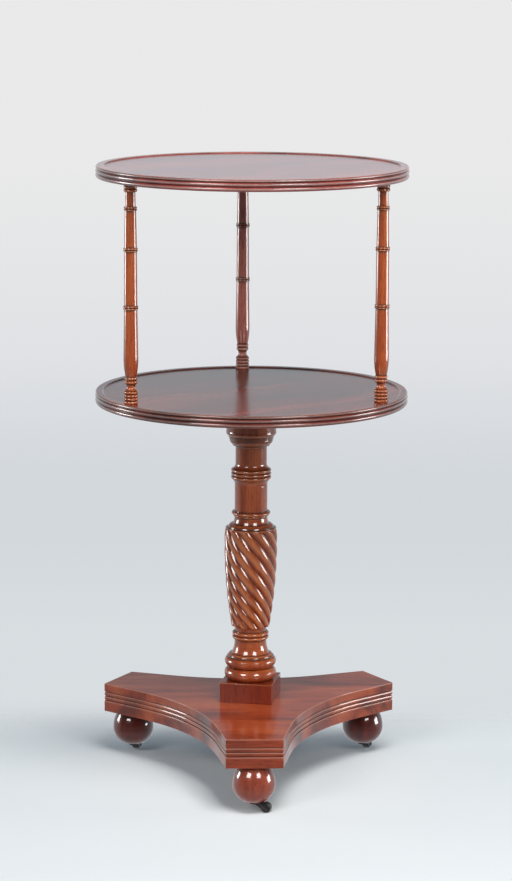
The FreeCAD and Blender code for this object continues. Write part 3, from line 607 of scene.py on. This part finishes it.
def softened_levels(levels, worn_and_highlit, least_painted_shade):
    """Rows of inset, height, painted shade, and wear with painted highlight, for an edge whose sides
    get painted shade, more with depth in its grooves.
    """
    top = levels[-1][1]
    points, hollows, edges = softened([(-inset, height) for inset, height in levels])
    rows = []
    for point in supported(points):
        painted_shade = nearness(point, hollows, PAINTED_SHADE_REACH)
        # Below the top the sides get painted shade, and the grooves more with their depth
        if point[1] < top - ARRIS:
            sunk = -point[0] / BASE_GROOVE_DEPTH
            painted_shade = max(painted_shade, least_painted_shade, min(sunk * PAINTED_GROOVE_SHADE_SHARE, 1.0))
        wear_and_highlight = nearness(point, edges[1:] + worn_and_highlit, WEAR_AND_HIGHLIGHT_REACH)
        rows.append((-point[0], point[1], painted_shade, wear_and_highlight))
    return rows


def stacked(name, plan, levels, material, worn_and_highlit=(), least_painted_shade=0.0):
    """A piece whose outline in plan is drawn in level by level, its sides darkened by painted shade.
    """
    spots = [Vector((-inset, height)) for inset, height in worn_and_highlit]
    rings = []
    for inset, height, painted_shade, wear_and_highlight in softened_levels(levels, spots, least_painted_shade):
        rings.append([(x, y, height, painted_shade, wear_and_highlight) for x, y in plan(inset)])
    return skin(name, rings, material)


def reed_levels(low, high):
    """A half-round reed between two grooves."""
    middle = (low + high) / 2
    half = (high - low) / 2
    levels = []
    for step in range(REED_PARTS + 1):
        angle = math.pi * step / REED_PARTS
        inset = BASE_GROOVE_DEPTH * (1 - math.sin(angle))
        levels.append((inset, middle - half * math.cos(angle)))
    return levels


def groove_side(height, direction, parts=6):
    """The rounded edge of a flat band beside a groove, towards the groove's bottom."""
    levels = []
    for step in range(parts + 1):
        angle = math.pi / 2 * step / parts
        inset = BASE_GROOVE_DEPTH * (1 - math.cos(angle))
        levels.append((inset, height + direction * BASE_GROOVE_RISE * math.sin(angle)))
    return levels


def make_base(material):
    """The slab; upwards its edge has a flat band, the reeds and another flat band."""
    top = BASE_LEVEL + BASE_THICKNESS
    low_groove = BASE_LEVEL + BASE_LOW_BAND
    high_groove = top - BASE_HIGH_BAND
    pitch = (high_groove - low_groove - 2 * BASE_GROOVE_RISE) / BASE_REEDS
    levels = [(FACE_INSET, BASE_LEVEL), (0.0, BASE_LEVEL)] + groove_side(low_groove, 1)
    # Wear with a painted highlight at the low groove's edge and on each reed's upper shoulder
    worn_and_highlit = [(0.0, low_groove)]
    for reed in range(BASE_REEDS):
        start = low_groove + BASE_GROOVE_RISE + pitch * reed
        drawn = reed_levels(start, start + pitch)
        worn_and_highlit.append(drawn[HIGHLIT_SHOULDER_POINT])
        levels = levels[:-1] + drawn
    levels += list(reversed(groove_side(high_groove, -1)))[1:]
    levels += [(0.0, top), (FACE_INSET, top)]
    base = stacked("base_slab", base_outline, levels, material, worn_and_highlit,
                   PAINTED_SIDE_SHADE_SHARE)
    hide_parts("base_platform")


def make_plinth(material):
    top = PLINTH_LEVEL + PLINTH_HEIGHT
    levels = [(FACE_INSET, PLINTH_LEVEL), (0.0, PLINTH_LEVEL), (0.0, top), (FACE_INSET, top)]
    stacked("column_plinth", square_outline, levels, material)


# Node helpers

def add(tree, kind, inputs=None, **settings):
    """Adds a node, sets it up and links or fills its inputs."""
    made = tree.nodes.new(kind)
    for key, value in settings.items():
        setattr(made, key, value)
    fill(tree, made, inputs or {})
    return made


def fill(tree, node, inputs):
    for key, value in inputs.items():
        if isinstance(value, bpy.types.NodeSocket):
            tree.links.new(value, node.inputs[key])
        else:
            node.inputs[key].default_value = value


def math_node(tree, operation, first, second, clamp=False):
    inputs = {0: first, 1: second}
    return add(tree, "ShaderNodeMath", inputs, operation=operation, use_clamp=clamp).outputs[0]


def mix(tree, factor, first, second, blend="MIX"):
    inputs = {0: factor, 6: first, 7: second}
    return add(tree, "ShaderNodeMix", inputs, data_type="RGBA", blend_type=blend).outputs[2]


def tinted(tree, shade, tint):
    return mix(tree, 1.0, shade, tint, "MULTIPLY")


def colour(red, green, blue):
    return (red, green, blue, 1.0)


def ramp(tree, factor, stops):
    """A colour ramp; each stop is a place and a colour or a grey."""
    made = add(tree, "ShaderNodeValToRGB", {0: factor})
    bar = made.color_ramp
    while len(bar.elements) < len(stops):
        bar.elements.new(1.0)
    for element, (place, shade) in zip(bar.elements, stops):
        element.position = place
        element.color = shade if isinstance(shade, tuple) else colour(shade, shade, shade)
    return made.outputs[0]


def remap(tree, value, ends, kind="LINEAR"):
    """0 at the first of the two ends and 1 at the second."""
    inputs = {"Value": value, "From Min": ends[0], "From Max": ends[1]}
    return add(tree, "ShaderNodeMapRange", inputs, interpolation_type=kind).outputs[0]


def noise(tree, vector, scale, detail=2.0, roughness=0.5, distortion=0.0):
    inputs = {"Vector": vector, "Scale": scale, "Detail": detail, "Roughness": roughness,
              "Distortion": distortion}
    return add(tree, "ShaderNodeTexNoise", inputs).outputs[0]


def bump(tree, height, strength, distance):
    inputs = {"Height": height, "Strength": strength, "Distance": distance}
    return add(tree, "ShaderNodeBump", inputs).outputs[0]


def attribute(tree, name):
    return add(tree, "ShaderNodeAttribute", attribute_name=name).outputs["Fac"]


def object_place(tree):
    return add(tree, "ShaderNodeTexCoord").outputs["Object"]


def new_material(name):
    material = bpy.data.materials.new(name)
    material.use_nodes = True
    tree = material.node_tree
    shader = tree.nodes["Principled BSDF"]
    return material, tree, shader


# Mahogany

# Directions of the grain, as turns of its pattern
UPWARDS = (0.0, 0.0, 0.0)
ALONG_X = (0.0, math.radians(90), 0.0)
SLANTING = (math.radians(90), math.radians(-50), 0.0)

# Dark, middle and light tone of each wood, and the tone of its edges and bead crests, which
# shows partly wear and partly a painted highlight
WOODS = {
    "column": (colour(0.190, 0.028, 0.008), colour(0.365, 0.068, 0.016),
               colour(0.500, 0.130, 0.030), colour(0.520, 0.165, 0.050)),
    "pillar": (colour(0.210, 0.031, 0.008), colour(0.365, 0.066, 0.012),
               colour(0.480, 0.120, 0.024), colour(0.480, 0.150, 0.050)),
    # The back pillar's wood is a lighter, purpler copy of the pillar wood: painted light on it in the
    # tiers' shade
    "back": (colour(0.280, 0.068, 0.052), colour(0.500, 0.140, 0.095),
             colour(0.600, 0.195, 0.110), colour(0.480, 0.170, 0.090)),
    "plinth": (colour(0.130, 0.016, 0.006), colour(0.215, 0.028, 0.009),
               colour(0.290, 0.042, 0.013), colour(0.400, 0.120, 0.045)),
    "base": (colour(0.160, 0.021, 0.007), colour(0.380, 0.054, 0.013),
             colour(0.530, 0.100, 0.025), colour(0.540, 0.250, 0.170)),
    "tier": (colour(0.050, 0.007, 0.005), colour(0.145, 0.017, 0.011),
             colour(0.250, 0.036, 0.018), colour(0.260, 0.200, 0.160)),
    "top": (colour(0.130, 0.018, 0.014), colour(0.280, 0.042, 0.031),
            colour(0.420, 0.078, 0.056), colour(0.370, 0.300, 0.260)),
    # The side balls' wood is darker, painted shade under the base; the front ball's is a lighter copy,
    # painted light
    "foot": (colour(0.045, 0.006, 0.003), colour(0.120, 0.013, 0.006),
             colour(0.190, 0.024, 0.010), colour(0.300, 0.100, 0.045)),
    "front_foot_painted_lighter": (colour(0.150, 0.023, 0.011), colour(0.270, 0.047, 0.021),
                   colour(0.370, 0.080, 0.034), colour(0.400, 0.140, 0.060)),
}
# Colour and strongest share of the painted shade in corners, valleys and grooves
PAINTED_SHADE_COLOUR = colour(0.022, 0.006, 0.004)
PAINTED_SHADE_SHARE = 0.86
PORE_TINT = colour(0.55, 0.46, 0.42)
WHITE = colour(1.0, 1.0, 1.0)

# Layers of the grain: stretch along it, scale, detail, roughness and distortion of the noise
BROAD_LAYER = (0.16, 26.0, 3.0, 0.55, 0.9)
BANDS_LAYER = (0.05, 95.0, 4.0, 0.6, 0.35)
STREAKS_LAYER = (0.018, 420.0, 3.0, 0.6, 0.0)
PORES_LAYER = (0.035, 1500.0, 2.0, 0.55, 0.0)
RIBBON_LAYER = (0.55, 11.0, 2.0, 0.5, 1.6)

# Shares of the layers in the tone; TONE_SHARE keeps it within the ramp's range, from 0 to 1
BANDS_SHARE = 0.75
STREAKS_SHARE = 0.25
RIBBON_SHARE = 0.25
TONE_SHARE = 0.6

# Steps from the middle of the tone to its dark and its light end
DARK_STEP = 0.15
LIGHT_STEP = 0.17

# Where the pores' noise turns from pore to wood, and the least wear with painted highlight at an edge
PORE_STOPS = [(0.34, 0.0), (0.47, 1.0)]
LEAST_WEAR_AND_HIGHLIGHT_SHARE = 0.15

# Surface of the polish; the bumps give a strength and a distance in metres
PORE_BUMP = (0.10, 0.0002)
RIPPLE_BUMP = (0.12, 0.0004)
RIPPLE_SCALE = 30.0
WOOD_ROUGHNESS = 0.42
WOOD_SPECULAR = 0.10
COAT_IOR = 1.5
TIER_POLISH = 0.17
BASE_POLISH = 0.15


def mahogany(name, wood, grain, seed, polish=0.10, figure=0.5, calm=1.0, fineness=1.0):
    """French-polished mahogany: broad figure, fine streaks, short dark pores and a glossy coat."""
    dark, middle, light, worn = WOODS[wood]
    material, tree, shader = new_material(name)
    mapping = {"Vector": object_place(tree), "Rotation": grain, "Location": seed}
    turned = add(tree, "ShaderNodeMapping", mapping).outputs[0]

    def layer(stretch, scale, *settings):
        scaling = {"Vector": turned, "Scale": (1.0, 1.0, stretch)}
        return noise(tree, add(tree, "ShaderNodeMapping", scaling).outputs[0], scale, *settings)

    broad_stretch, broad_scale, *broad_rest = BROAD_LAYER
    bands_stretch, bands_scale, *bands_rest = BANDS_LAYER
    broad = layer(broad_stretch, broad_scale * fineness, *broad_rest)
    bands = layer(bands_stretch, bands_scale * fineness, *bands_rest)
    streaks = layer(*STREAKS_LAYER)
    pores = layer(*PORES_LAYER)
    ribbon = layer(*RIBBON_LAYER)

    # A stronger figure takes from the bands and adds to the broad layer and the ribbon
    shares = ((broad, figure), (bands, BANDS_SHARE - figure / 2), (streaks, STREAKS_SHARE),
              (ribbon, figure / 2 - RIBBON_SHARE))
    tone = 0.0
    for grey, share in shares:
        tone = math_node(tree, "ADD", tone, math_node(tree, "MULTIPLY", grey, share))
    tone = math_node(tree, "MULTIPLY", tone, TONE_SHARE)
    usual = TONE_SHARE * sum(share for _, share in shares) / 2
    spread = TONE_SHARE * calm
    stops = [(usual - DARK_STEP * spread, dark), (usual, middle), (usual + LIGHT_STEP * spread, light)]
    speck = ramp(tree, pores, PORE_STOPS)
    wooden = tinted(tree, ramp(tree, tone, stops), mix(tree, speck, PORE_TINT, WHITE))

    # Wear with a painted highlight turns edges and bead crests towards the lighter fourth tone
    patchy_wear_and_highlight = math_node(tree, "ADD", streaks, LEAST_WEAR_AND_HIGHLIGHT_SHARE)
    worn_and_highlit = math_node(tree, "MULTIPLY", attribute(tree, "wear_and_highlight"), patchy_wear_and_highlight, clamp=True)
    # Painted shade turns corners, valleys, grooves, the base's sides and the capital near-black brown
    painted_shade_amount = math_node(tree, "MULTIPLY", attribute(tree, "painted_shade"), PAINTED_SHADE_SHARE, clamp=True)
    wooden = mix(tree, painted_shade_amount, mix(tree, worn_and_highlit, wooden, worn), PAINTED_SHADE_COLOUR)
    fill(tree, shader, {
        "Base Color": wooden,
        "Normal": bump(tree, speck, *PORE_BUMP),
        "Coat Normal": bump(tree, noise(tree, turned, RIPPLE_SCALE), *RIPPLE_BUMP),
        "Roughness": WOOD_ROUGHNESS,
        "Specular IOR Level": WOOD_SPECULAR,
        "Coat Weight": 1.0,
        "Coat Roughness": polish,
        "Coat IOR": COAT_IOR,
    })
    return material


# Wood and iron of the solids that stay in sight

OILED_STRETCH = (0.05, 1.0, 1.0)
OILED_NOISE = (240.0, 4.0, 0.6, 0.3)
OILED_TONES = [(0.3, colour(0.10, 0.030, 0.014)), (0.7, colour(0.26, 0.095, 0.040))]
OILED_ROUGHNESS = [(0.3, 0.62), (0.7, 0.48)]
OILED_BUMP = (0.3, 0.0003)
PATCH_NOISE = (260.0, 5.0, 0.6)
GRIT_NOISE = (1400.0, 3.0, 0.6)
BARE_STOPS = [(0.52, 0.0), (0.68, 1.0)]
IRON_ROUGHNESS = [(0.40, 0.34), (0.68, 0.58)]
METAL_SHARE = 0.8
GRIT_BUMP = (0.35, 0.0002)

# Bare metal, lacquer and rust of each iron, by the slot that it fills
IRONS = {
    "caster_iron": ("iron_lacquered", colour(0.16, 0.14, 0.13), colour(0.012, 0.011, 0.011),
                    colour(0.10, 0.040, 0.020)),
    "wheel_iron": ("iron_worn", colour(0.12, 0.11, 0.10), colour(0.016, 0.014, 0.014),
                   colour(0.07, 0.035, 0.022)),
    "screw_iron": ("steel_dull", colour(0.34, 0.32, 0.30), colour(0.10, 0.095, 0.09),
                   colour(0.16, 0.07, 0.035)),
}


def plain_wood(name):
    """Oiled, unpolished mahogany of the pieces under the tier."""
    material, tree, shader = new_material(name)
    stretch = {"Vector": object_place(tree), "Scale": OILED_STRETCH}
    along = add(tree, "ShaderNodeMapping", stretch).outputs[0]
    streaks = noise(tree, along, *OILED_NOISE)
    fill(tree, shader, {
        "Base Color": ramp(tree, streaks, OILED_TONES),
        "Roughness": ramp(tree, streaks, OILED_ROUGHNESS),
        "Normal": bump(tree, streaks, *OILED_BUMP),
    })
    return material


def dark_iron(name, bare, lacquer, rust):
    """Lacquered iron, with random patches where it is bare: rougher, partly metallic and a little
    rusty.
    """
    material, tree, shader = new_material(name)
    place = object_place(tree)
    patches = noise(tree, place, *PATCH_NOISE)
    grit = noise(tree, place, *GRIT_NOISE)
    worn = ramp(tree, patches, BARE_STOPS)
    fill(tree, shader, {
        "Base Color": mix(tree, worn, lacquer, mix(tree, grit, bare, rust)),
        "Roughness": ramp(tree, patches, IRON_ROUGHNESS),
        "Metallic": math_node(tree, "MULTIPLY", worn, METAL_SHARE),
        "Normal": bump(tree, grit, *GRIT_BUMP),
    })
    return material


def finish_cad_nodes():
    """Gives each solid that stays visible its procedural material."""
    finishes = {slot: dark_iron(*settings) for slot, settings in IRONS.items()}
    wood = plain_wood("mahogany_oiled")
    slots = {part["node"]: part["material_slot"] for part in frame["record"]["subparts"]}
    for node, piece in frame["nodes"].items():
        for holder in piece.material_slots:
            holder.material = finishes.get(slots[node], wood)


# The whole stand; each seed moves the grain, in metres

def make_tier(name, wood_name, radius, level, seed):
    wood = mahogany("mahogany_%s_tier" % name, wood_name, SLANTING, seed, polish=TIER_POLISH,
                    figure=1.2, calm=1.3, fineness=0.45)
    tier = lathe("tier_" + name, tier_steps(radius), level, TIER_SEGMENTS, wood)
    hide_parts("%s_tier" % name)


def make_pillar(side, turn, seed):
    # The back pillar takes the lighter, purpler copy: painted light in the tiers' shade
    wood_name = "back" if side == "back" else "pillar"
    wood = mahogany("mahogany_pillar_" + side, wood_name, UPWARDS, seed, calm=1.5)
    pillar = lathe("pillar_turned_" + side, steps_of(PILLAR), DISH_LEVEL, PILLAR_SEGMENTS, wood,
                   on_circle(PILLAR_CIRCLE, turn))
    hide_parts("pillar_" + side)


def make_foot(side, turn, seed):
    # The front ball takes the lighter copy, painted light; the side balls the darker, painted shade
    wood_name = "front_foot_painted_lighter" if side == "front" else "foot"
    wood = mahogany("mahogany_foot_" + side, wood_name, UPWARDS, seed, calm=1.7)
    foot = lathe("foot_turned_" + side, foot_steps(), FOOT_LEVEL, FOOT_SEGMENTS, wood,
                 on_circle(FOOT_CIRCLE, turn))
    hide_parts("foot_" + side)


def make_stand():
    make_tier("lower", "tier", LOWER_TIER_RADIUS, LOWER_TIER_LEVEL, (0.31, 0.12, 0.55))
    make_tier("upper", "top", UPPER_TIER_RADIUS, UPPER_TIER_LEVEL, (0.84, 0.47, 0.23))
    for index, (side, turn) in enumerate(PILLAR_TURNS.items()):
        make_pillar(side, turn, (0.2 * index, 0.37, 0.1))
    make_column(mahogany("mahogany_column", "column", UPWARDS, (0.05, 0.61, 0.3), calm=1.5))
    make_plinth(mahogany("mahogany_plinth", "plinth", UPWARDS, (0.44, 0.2, 0.7), figure=0.3,
                         calm=2.0))
    make_base(mahogany("mahogany_base", "base", ALONG_X, (0.15, 0.53, 0.9), polish=BASE_POLISH,
                       figure=1.2, calm=1.25, fineness=0.6))
    for index, (side, turn) in enumerate(FOOT_TURNS.items()):
        make_foot(side, turn, (0.7, 0.3 * index, 0.4))


# Studio; its lengths are in metres

PAPER = colour(0.81, 0.83, 0.82)
PAPER_FIBRE = colour(0.62, 0.62, 0.62)
FIBRE_NOISE = (900.0, 3.0, 0.6)
FIBRE_SHARE = 0.05
PAPER_ROUGHNESS = 0.95
FLOOR_REACH = 1.6
FLOOR_SEGMENTS = 96
FLOOR_FADE = (0.7, 1.55)
BACK_FADE = (0.12, 0.45)
GLOW_DEPTH = (-0.5, 0.5)
FLOOR_GLOW_NEAR = colour(0.0, 0.0, 0.0)
FLOOR_GLOW_FAR = colour(0.075, 0.095, 0.105)


def make_floor():
    """A pale paper floor that fades into the backdrop."""
    material, tree, shader = new_material("paper_floor")
    place = object_place(tree)
    depth = add(tree, "ShaderNodeSeparateXYZ", {0: place}).outputs["Y"]
    fibres = math_node(tree, "MULTIPLY", noise(tree, place, *FIBRE_NOISE), FIBRE_SHARE)
    fill(tree, shader, {
        "Base Color": mix(tree, fibres, PAPER, PAPER_FIBRE),
        "Roughness": PAPER_ROUGHNESS,
        "Specular IOR Level": 0.0,
    })
    glow_stops = [(0.0, FLOOR_GLOW_NEAR), (1.0, FLOOR_GLOW_FAR)]
    glow = ramp(tree, remap(tree, depth, GLOW_DEPTH), glow_stops)
    seen = add(tree, "ShaderNodeLightPath").outputs["Is Camera Ray"]
    pale = add(tree, "ShaderNodeEmission", {"Color": glow, "Strength": seen}).outputs[0]
    lit = add(tree, "ShaderNodeAddShader", {0: shader.outputs[0], 1: pale}).outputs[0]
    away = add(tree, "ShaderNodeVectorMath", {0: place}, operation="LENGTH").outputs["Value"]
    outward = remap(tree, away, FLOOR_FADE, "SMOOTHSTEP")
    backward = remap(tree, depth, BACK_FADE, "SMOOTHSTEP")
    fade = math_node(tree, "MAXIMUM", outward, backward)
    clear = add(tree, "ShaderNodeBsdfTransparent").outputs[0]
    blend = add(tree, "ShaderNodeMixShader", {0: fade, 1: lit, 2: clear}).outputs[0]
    fill(tree, tree.nodes["Material Output"], {"Surface": blend})
    rim = []
    for step in range(FLOOR_SEGMENTS):
        angle = FULL_TURN * step / FLOOR_SEGMENTS
        rim.append((FLOOR_REACH * math.cos(angle), FLOOR_REACH * math.sin(angle), 0.0))
    mesh = bpy.data.meshes.new("floor")
    mesh.from_pydata(rim, [], [tuple(range(FLOOR_SEGMENTS))])
    mesh.materials.append(material)
    floor = bpy.data.objects.new("floor", mesh)
    bpy.context.scene.collection.objects.link(floor)
    floor.visible_glossy = False


BACKDROP_FAR = colour(0.82, 0.82, 0.82)
BACKDROP_MIDDLE = colour(0.75, 0.76, 0.785)
BACKDROP_LOW = colour(0.65, 0.685, 0.715)
BACKDROP_FLOOR = colour(0.69, 0.725, 0.75)
BACKDROP_RISE = (-0.28, 0.0)
BACKDROP_STOPS = [(0.0, BACKDROP_FLOOR), (0.14, BACKDROP_FLOOR), (0.24, BACKDROP_LOW),
                  (0.32, BACKDROP_LOW), (0.46, BACKDROP_MIDDLE), (0.68, BACKDROP_FAR)]

# What the polish mirrors: a dark room in front, pale walls behind, and the floor
DARK_ROOM = colour(0.05, 0.05, 0.055)
ROOM_TINT = colour(0.95, 1.0, 1.06)
ROOM_BEHIND = [(0.0, 0.94), (0.09, 0.89), (0.165, 0.54), (0.26, 0.27), (0.6, 0.20)]
FLOOR_TINT = colour(0.95, 1.0, 1.05)
FLOOR_MIRRORED = [(0.0, 0.28), (0.25, 0.28), (0.5, 0.60)]
BEHIND_DEPTH = (-0.35, 0.25)
HORIZON = (0.03, -0.03)

# Soft light from all round
FILL_LIGHT = colour(0.040, 0.080, 0.125)


def make_world():
    """Pale paper round the stand; in reflections the room in front of it is dark."""
    world = bpy.data.worlds.new("studio")
    world.use_nodes = True
    bpy.context.scene.world = world
    tree = world.node_tree
    direction = add(tree, "ShaderNodeTexCoord").outputs["Generated"]
    parts = add(tree, "ShaderNodeSeparateXYZ", {0: direction}).outputs
    paper = ramp(tree, remap(tree, parts["Z"], BACKDROP_RISE), BACKDROP_STOPS)
    behind = remap(tree, parts["Y"], BEHIND_DEPTH, "SMOOTHSTEP")
    below = remap(tree, parts["Z"], HORIZON)
    rise = math_node(tree, "MAXIMUM", parts["Z"], 0.0)
    wall = tinted(tree, ramp(tree, rise, ROOM_BEHIND), ROOM_TINT)
    fall = math_node(tree, "MULTIPLY", parts["Z"], -1.0, clamp=True)
    ground = tinted(tree, ramp(tree, fall, FLOOR_MIRRORED), FLOOR_TINT)
    ground = mix(tree, behind, ground, BACKDROP_LOW)
    pale = math_node(tree, "MAXIMUM", behind, below)
    mirrored = mix(tree, pale, DARK_ROOM, mix(tree, below, wall, ground))
    rays = add(tree, "ShaderNodeLightPath").outputs
    seen = math_node(tree, "MAXIMUM", rays["Is Glossy Ray"], rays["Is Transmission Ray"])
    shown = mix(tree, rays["Is Camera Ray"], mix(tree, seen, FILL_LIGHT, mirrored), paper)
    fill(tree, tree.nodes["Background"], {"Color": shown, "Strength": 1.0})


# Azimuth from the front and elevation, in degrees, and width of each soft box
LAMPS = {
    "far_left": (-105.0, 7.0, 1.1),
    "left": (-34.0, 27.0, 1.5),
    "right": (27.0, 27.0, 1.4),
    "far_right": (87.0, 2.5, 1.5),
}
LAMP_DISTANCE = 4.2
LAMP_HEIGHT = 1.1
LAMP_POWER = 26.0
SHINE_DISTANCE = 4.0
SHINE_POWER = 66.0
LAMP_AIM = Vector((0.0, 0.0, 0.35))
MAIN_LAMP = (17.0, 58.0, 1.4)
MAIN_DISTANCE = 3.0
MAIN_POWER = 37.0


def add_lamp(name, azimuth, elevation, distance, width, height, power):
    """A soft box that faces the stand; its power is for each square metre of it."""
    data = bpy.data.lights.new(name, "AREA")
    data.shape = "RECTANGLE"
    data.size = width
    data.size_y = height
    data.energy = power * width * height
    lamp = bpy.data.objects.new(name, data)
    bpy.context.scene.collection.objects.link(lamp)
    turn = math.radians(azimuth)
    rise = math.radians(elevation)
    level = math.cos(rise)
    away = Vector((math.sin(turn) * level, -math.cos(turn) * level, math.sin(rise)))
    lamp.location = LAMP_AIM + away * distance
    lamp.rotation_mode = "QUATERNION"
    lamp.rotation_quaternion = (-away).to_track_quat("-Z", "Y")
    lamp.visible_camera = False
    return lamp


def make_lamps():
    """A high soft box, and four low pairs: one box gives light, the other shows in the polish."""
    azimuth, elevation, width = MAIN_LAMP
    main = add_lamp("lamp_main", azimuth, elevation, MAIN_DISTANCE, width, width, MAIN_POWER)
    main.visible_glossy = False
    for name, (azimuth, elevation, width) in LAMPS.items():
        lamp = add_lamp("lamp_" + name, azimuth, elevation, LAMP_DISTANCE, width, LAMP_HEIGHT,
                        LAMP_POWER)
        lamp.visible_glossy = False
        shine = add_lamp("shine_" + name, azimuth, elevation, SHINE_DISTANCE, width, LAMP_HEIGHT,
                         SHINE_POWER)
        shine.visible_diffuse = False


# Camera, as found from the photo's ellipses and floor contacts, in metres and radians
CAMERA_DISTANCE = 4.823
CAMERA_HEIGHT = 1.4446
CAMERA_TURN = 0.0295
CAMERA_YAW = 0.0016
CAMERA_PITCH = 0.1817
CAMERA_ROLL = 0.0045
CLIP_END = 50.0

# Its focal length and the photo's height, in pixels, and its sensor, in millimetres
FOCAL_PIXELS = 3003.0
IMAGE_HEIGHT = 881
SENSOR = 36.0


def make_camera():
    data = bpy.data.cameras.new("camera")
    data.sensor_width = SENSOR
    data.lens = FOCAL_PIXELS / IMAGE_HEIGHT * SENSOR
    data.clip_end = CLIP_END
    camera = bpy.data.objects.new("camera", data)
    bpy.context.scene.collection.objects.link(camera)
    heading = CAMERA_YAW + CAMERA_TURN
    flat = math.cos(CAMERA_PITCH)
    forward = Vector((math.sin(heading) * flat, math.cos(heading) * flat, -math.sin(CAMERA_PITCH)))
    level = Vector((math.cos(heading), -math.sin(heading), 0.0))
    upward = level.cross(forward)
    right = level * math.cos(CAMERA_ROLL) + upward * math.sin(CAMERA_ROLL)
    top = upward * math.cos(CAMERA_ROLL) - level * math.sin(CAMERA_ROLL)
    matrix = Matrix((right, top, -forward)).transposed().to_4x4()
    matrix.translation = Vector((-CAMERA_DISTANCE * math.sin(CAMERA_TURN),
                                 -CAMERA_DISTANCE * math.cos(CAMERA_TURN), CAMERA_HEIGHT))
    camera.matrix_world = matrix
    bpy.context.scene.camera = camera


finish_cad_nodes()
make_stand()
make_floor()
make_world()
make_lamps()
make_camera()
bpy.context.scene.view_settings.view_transform = "Standard"
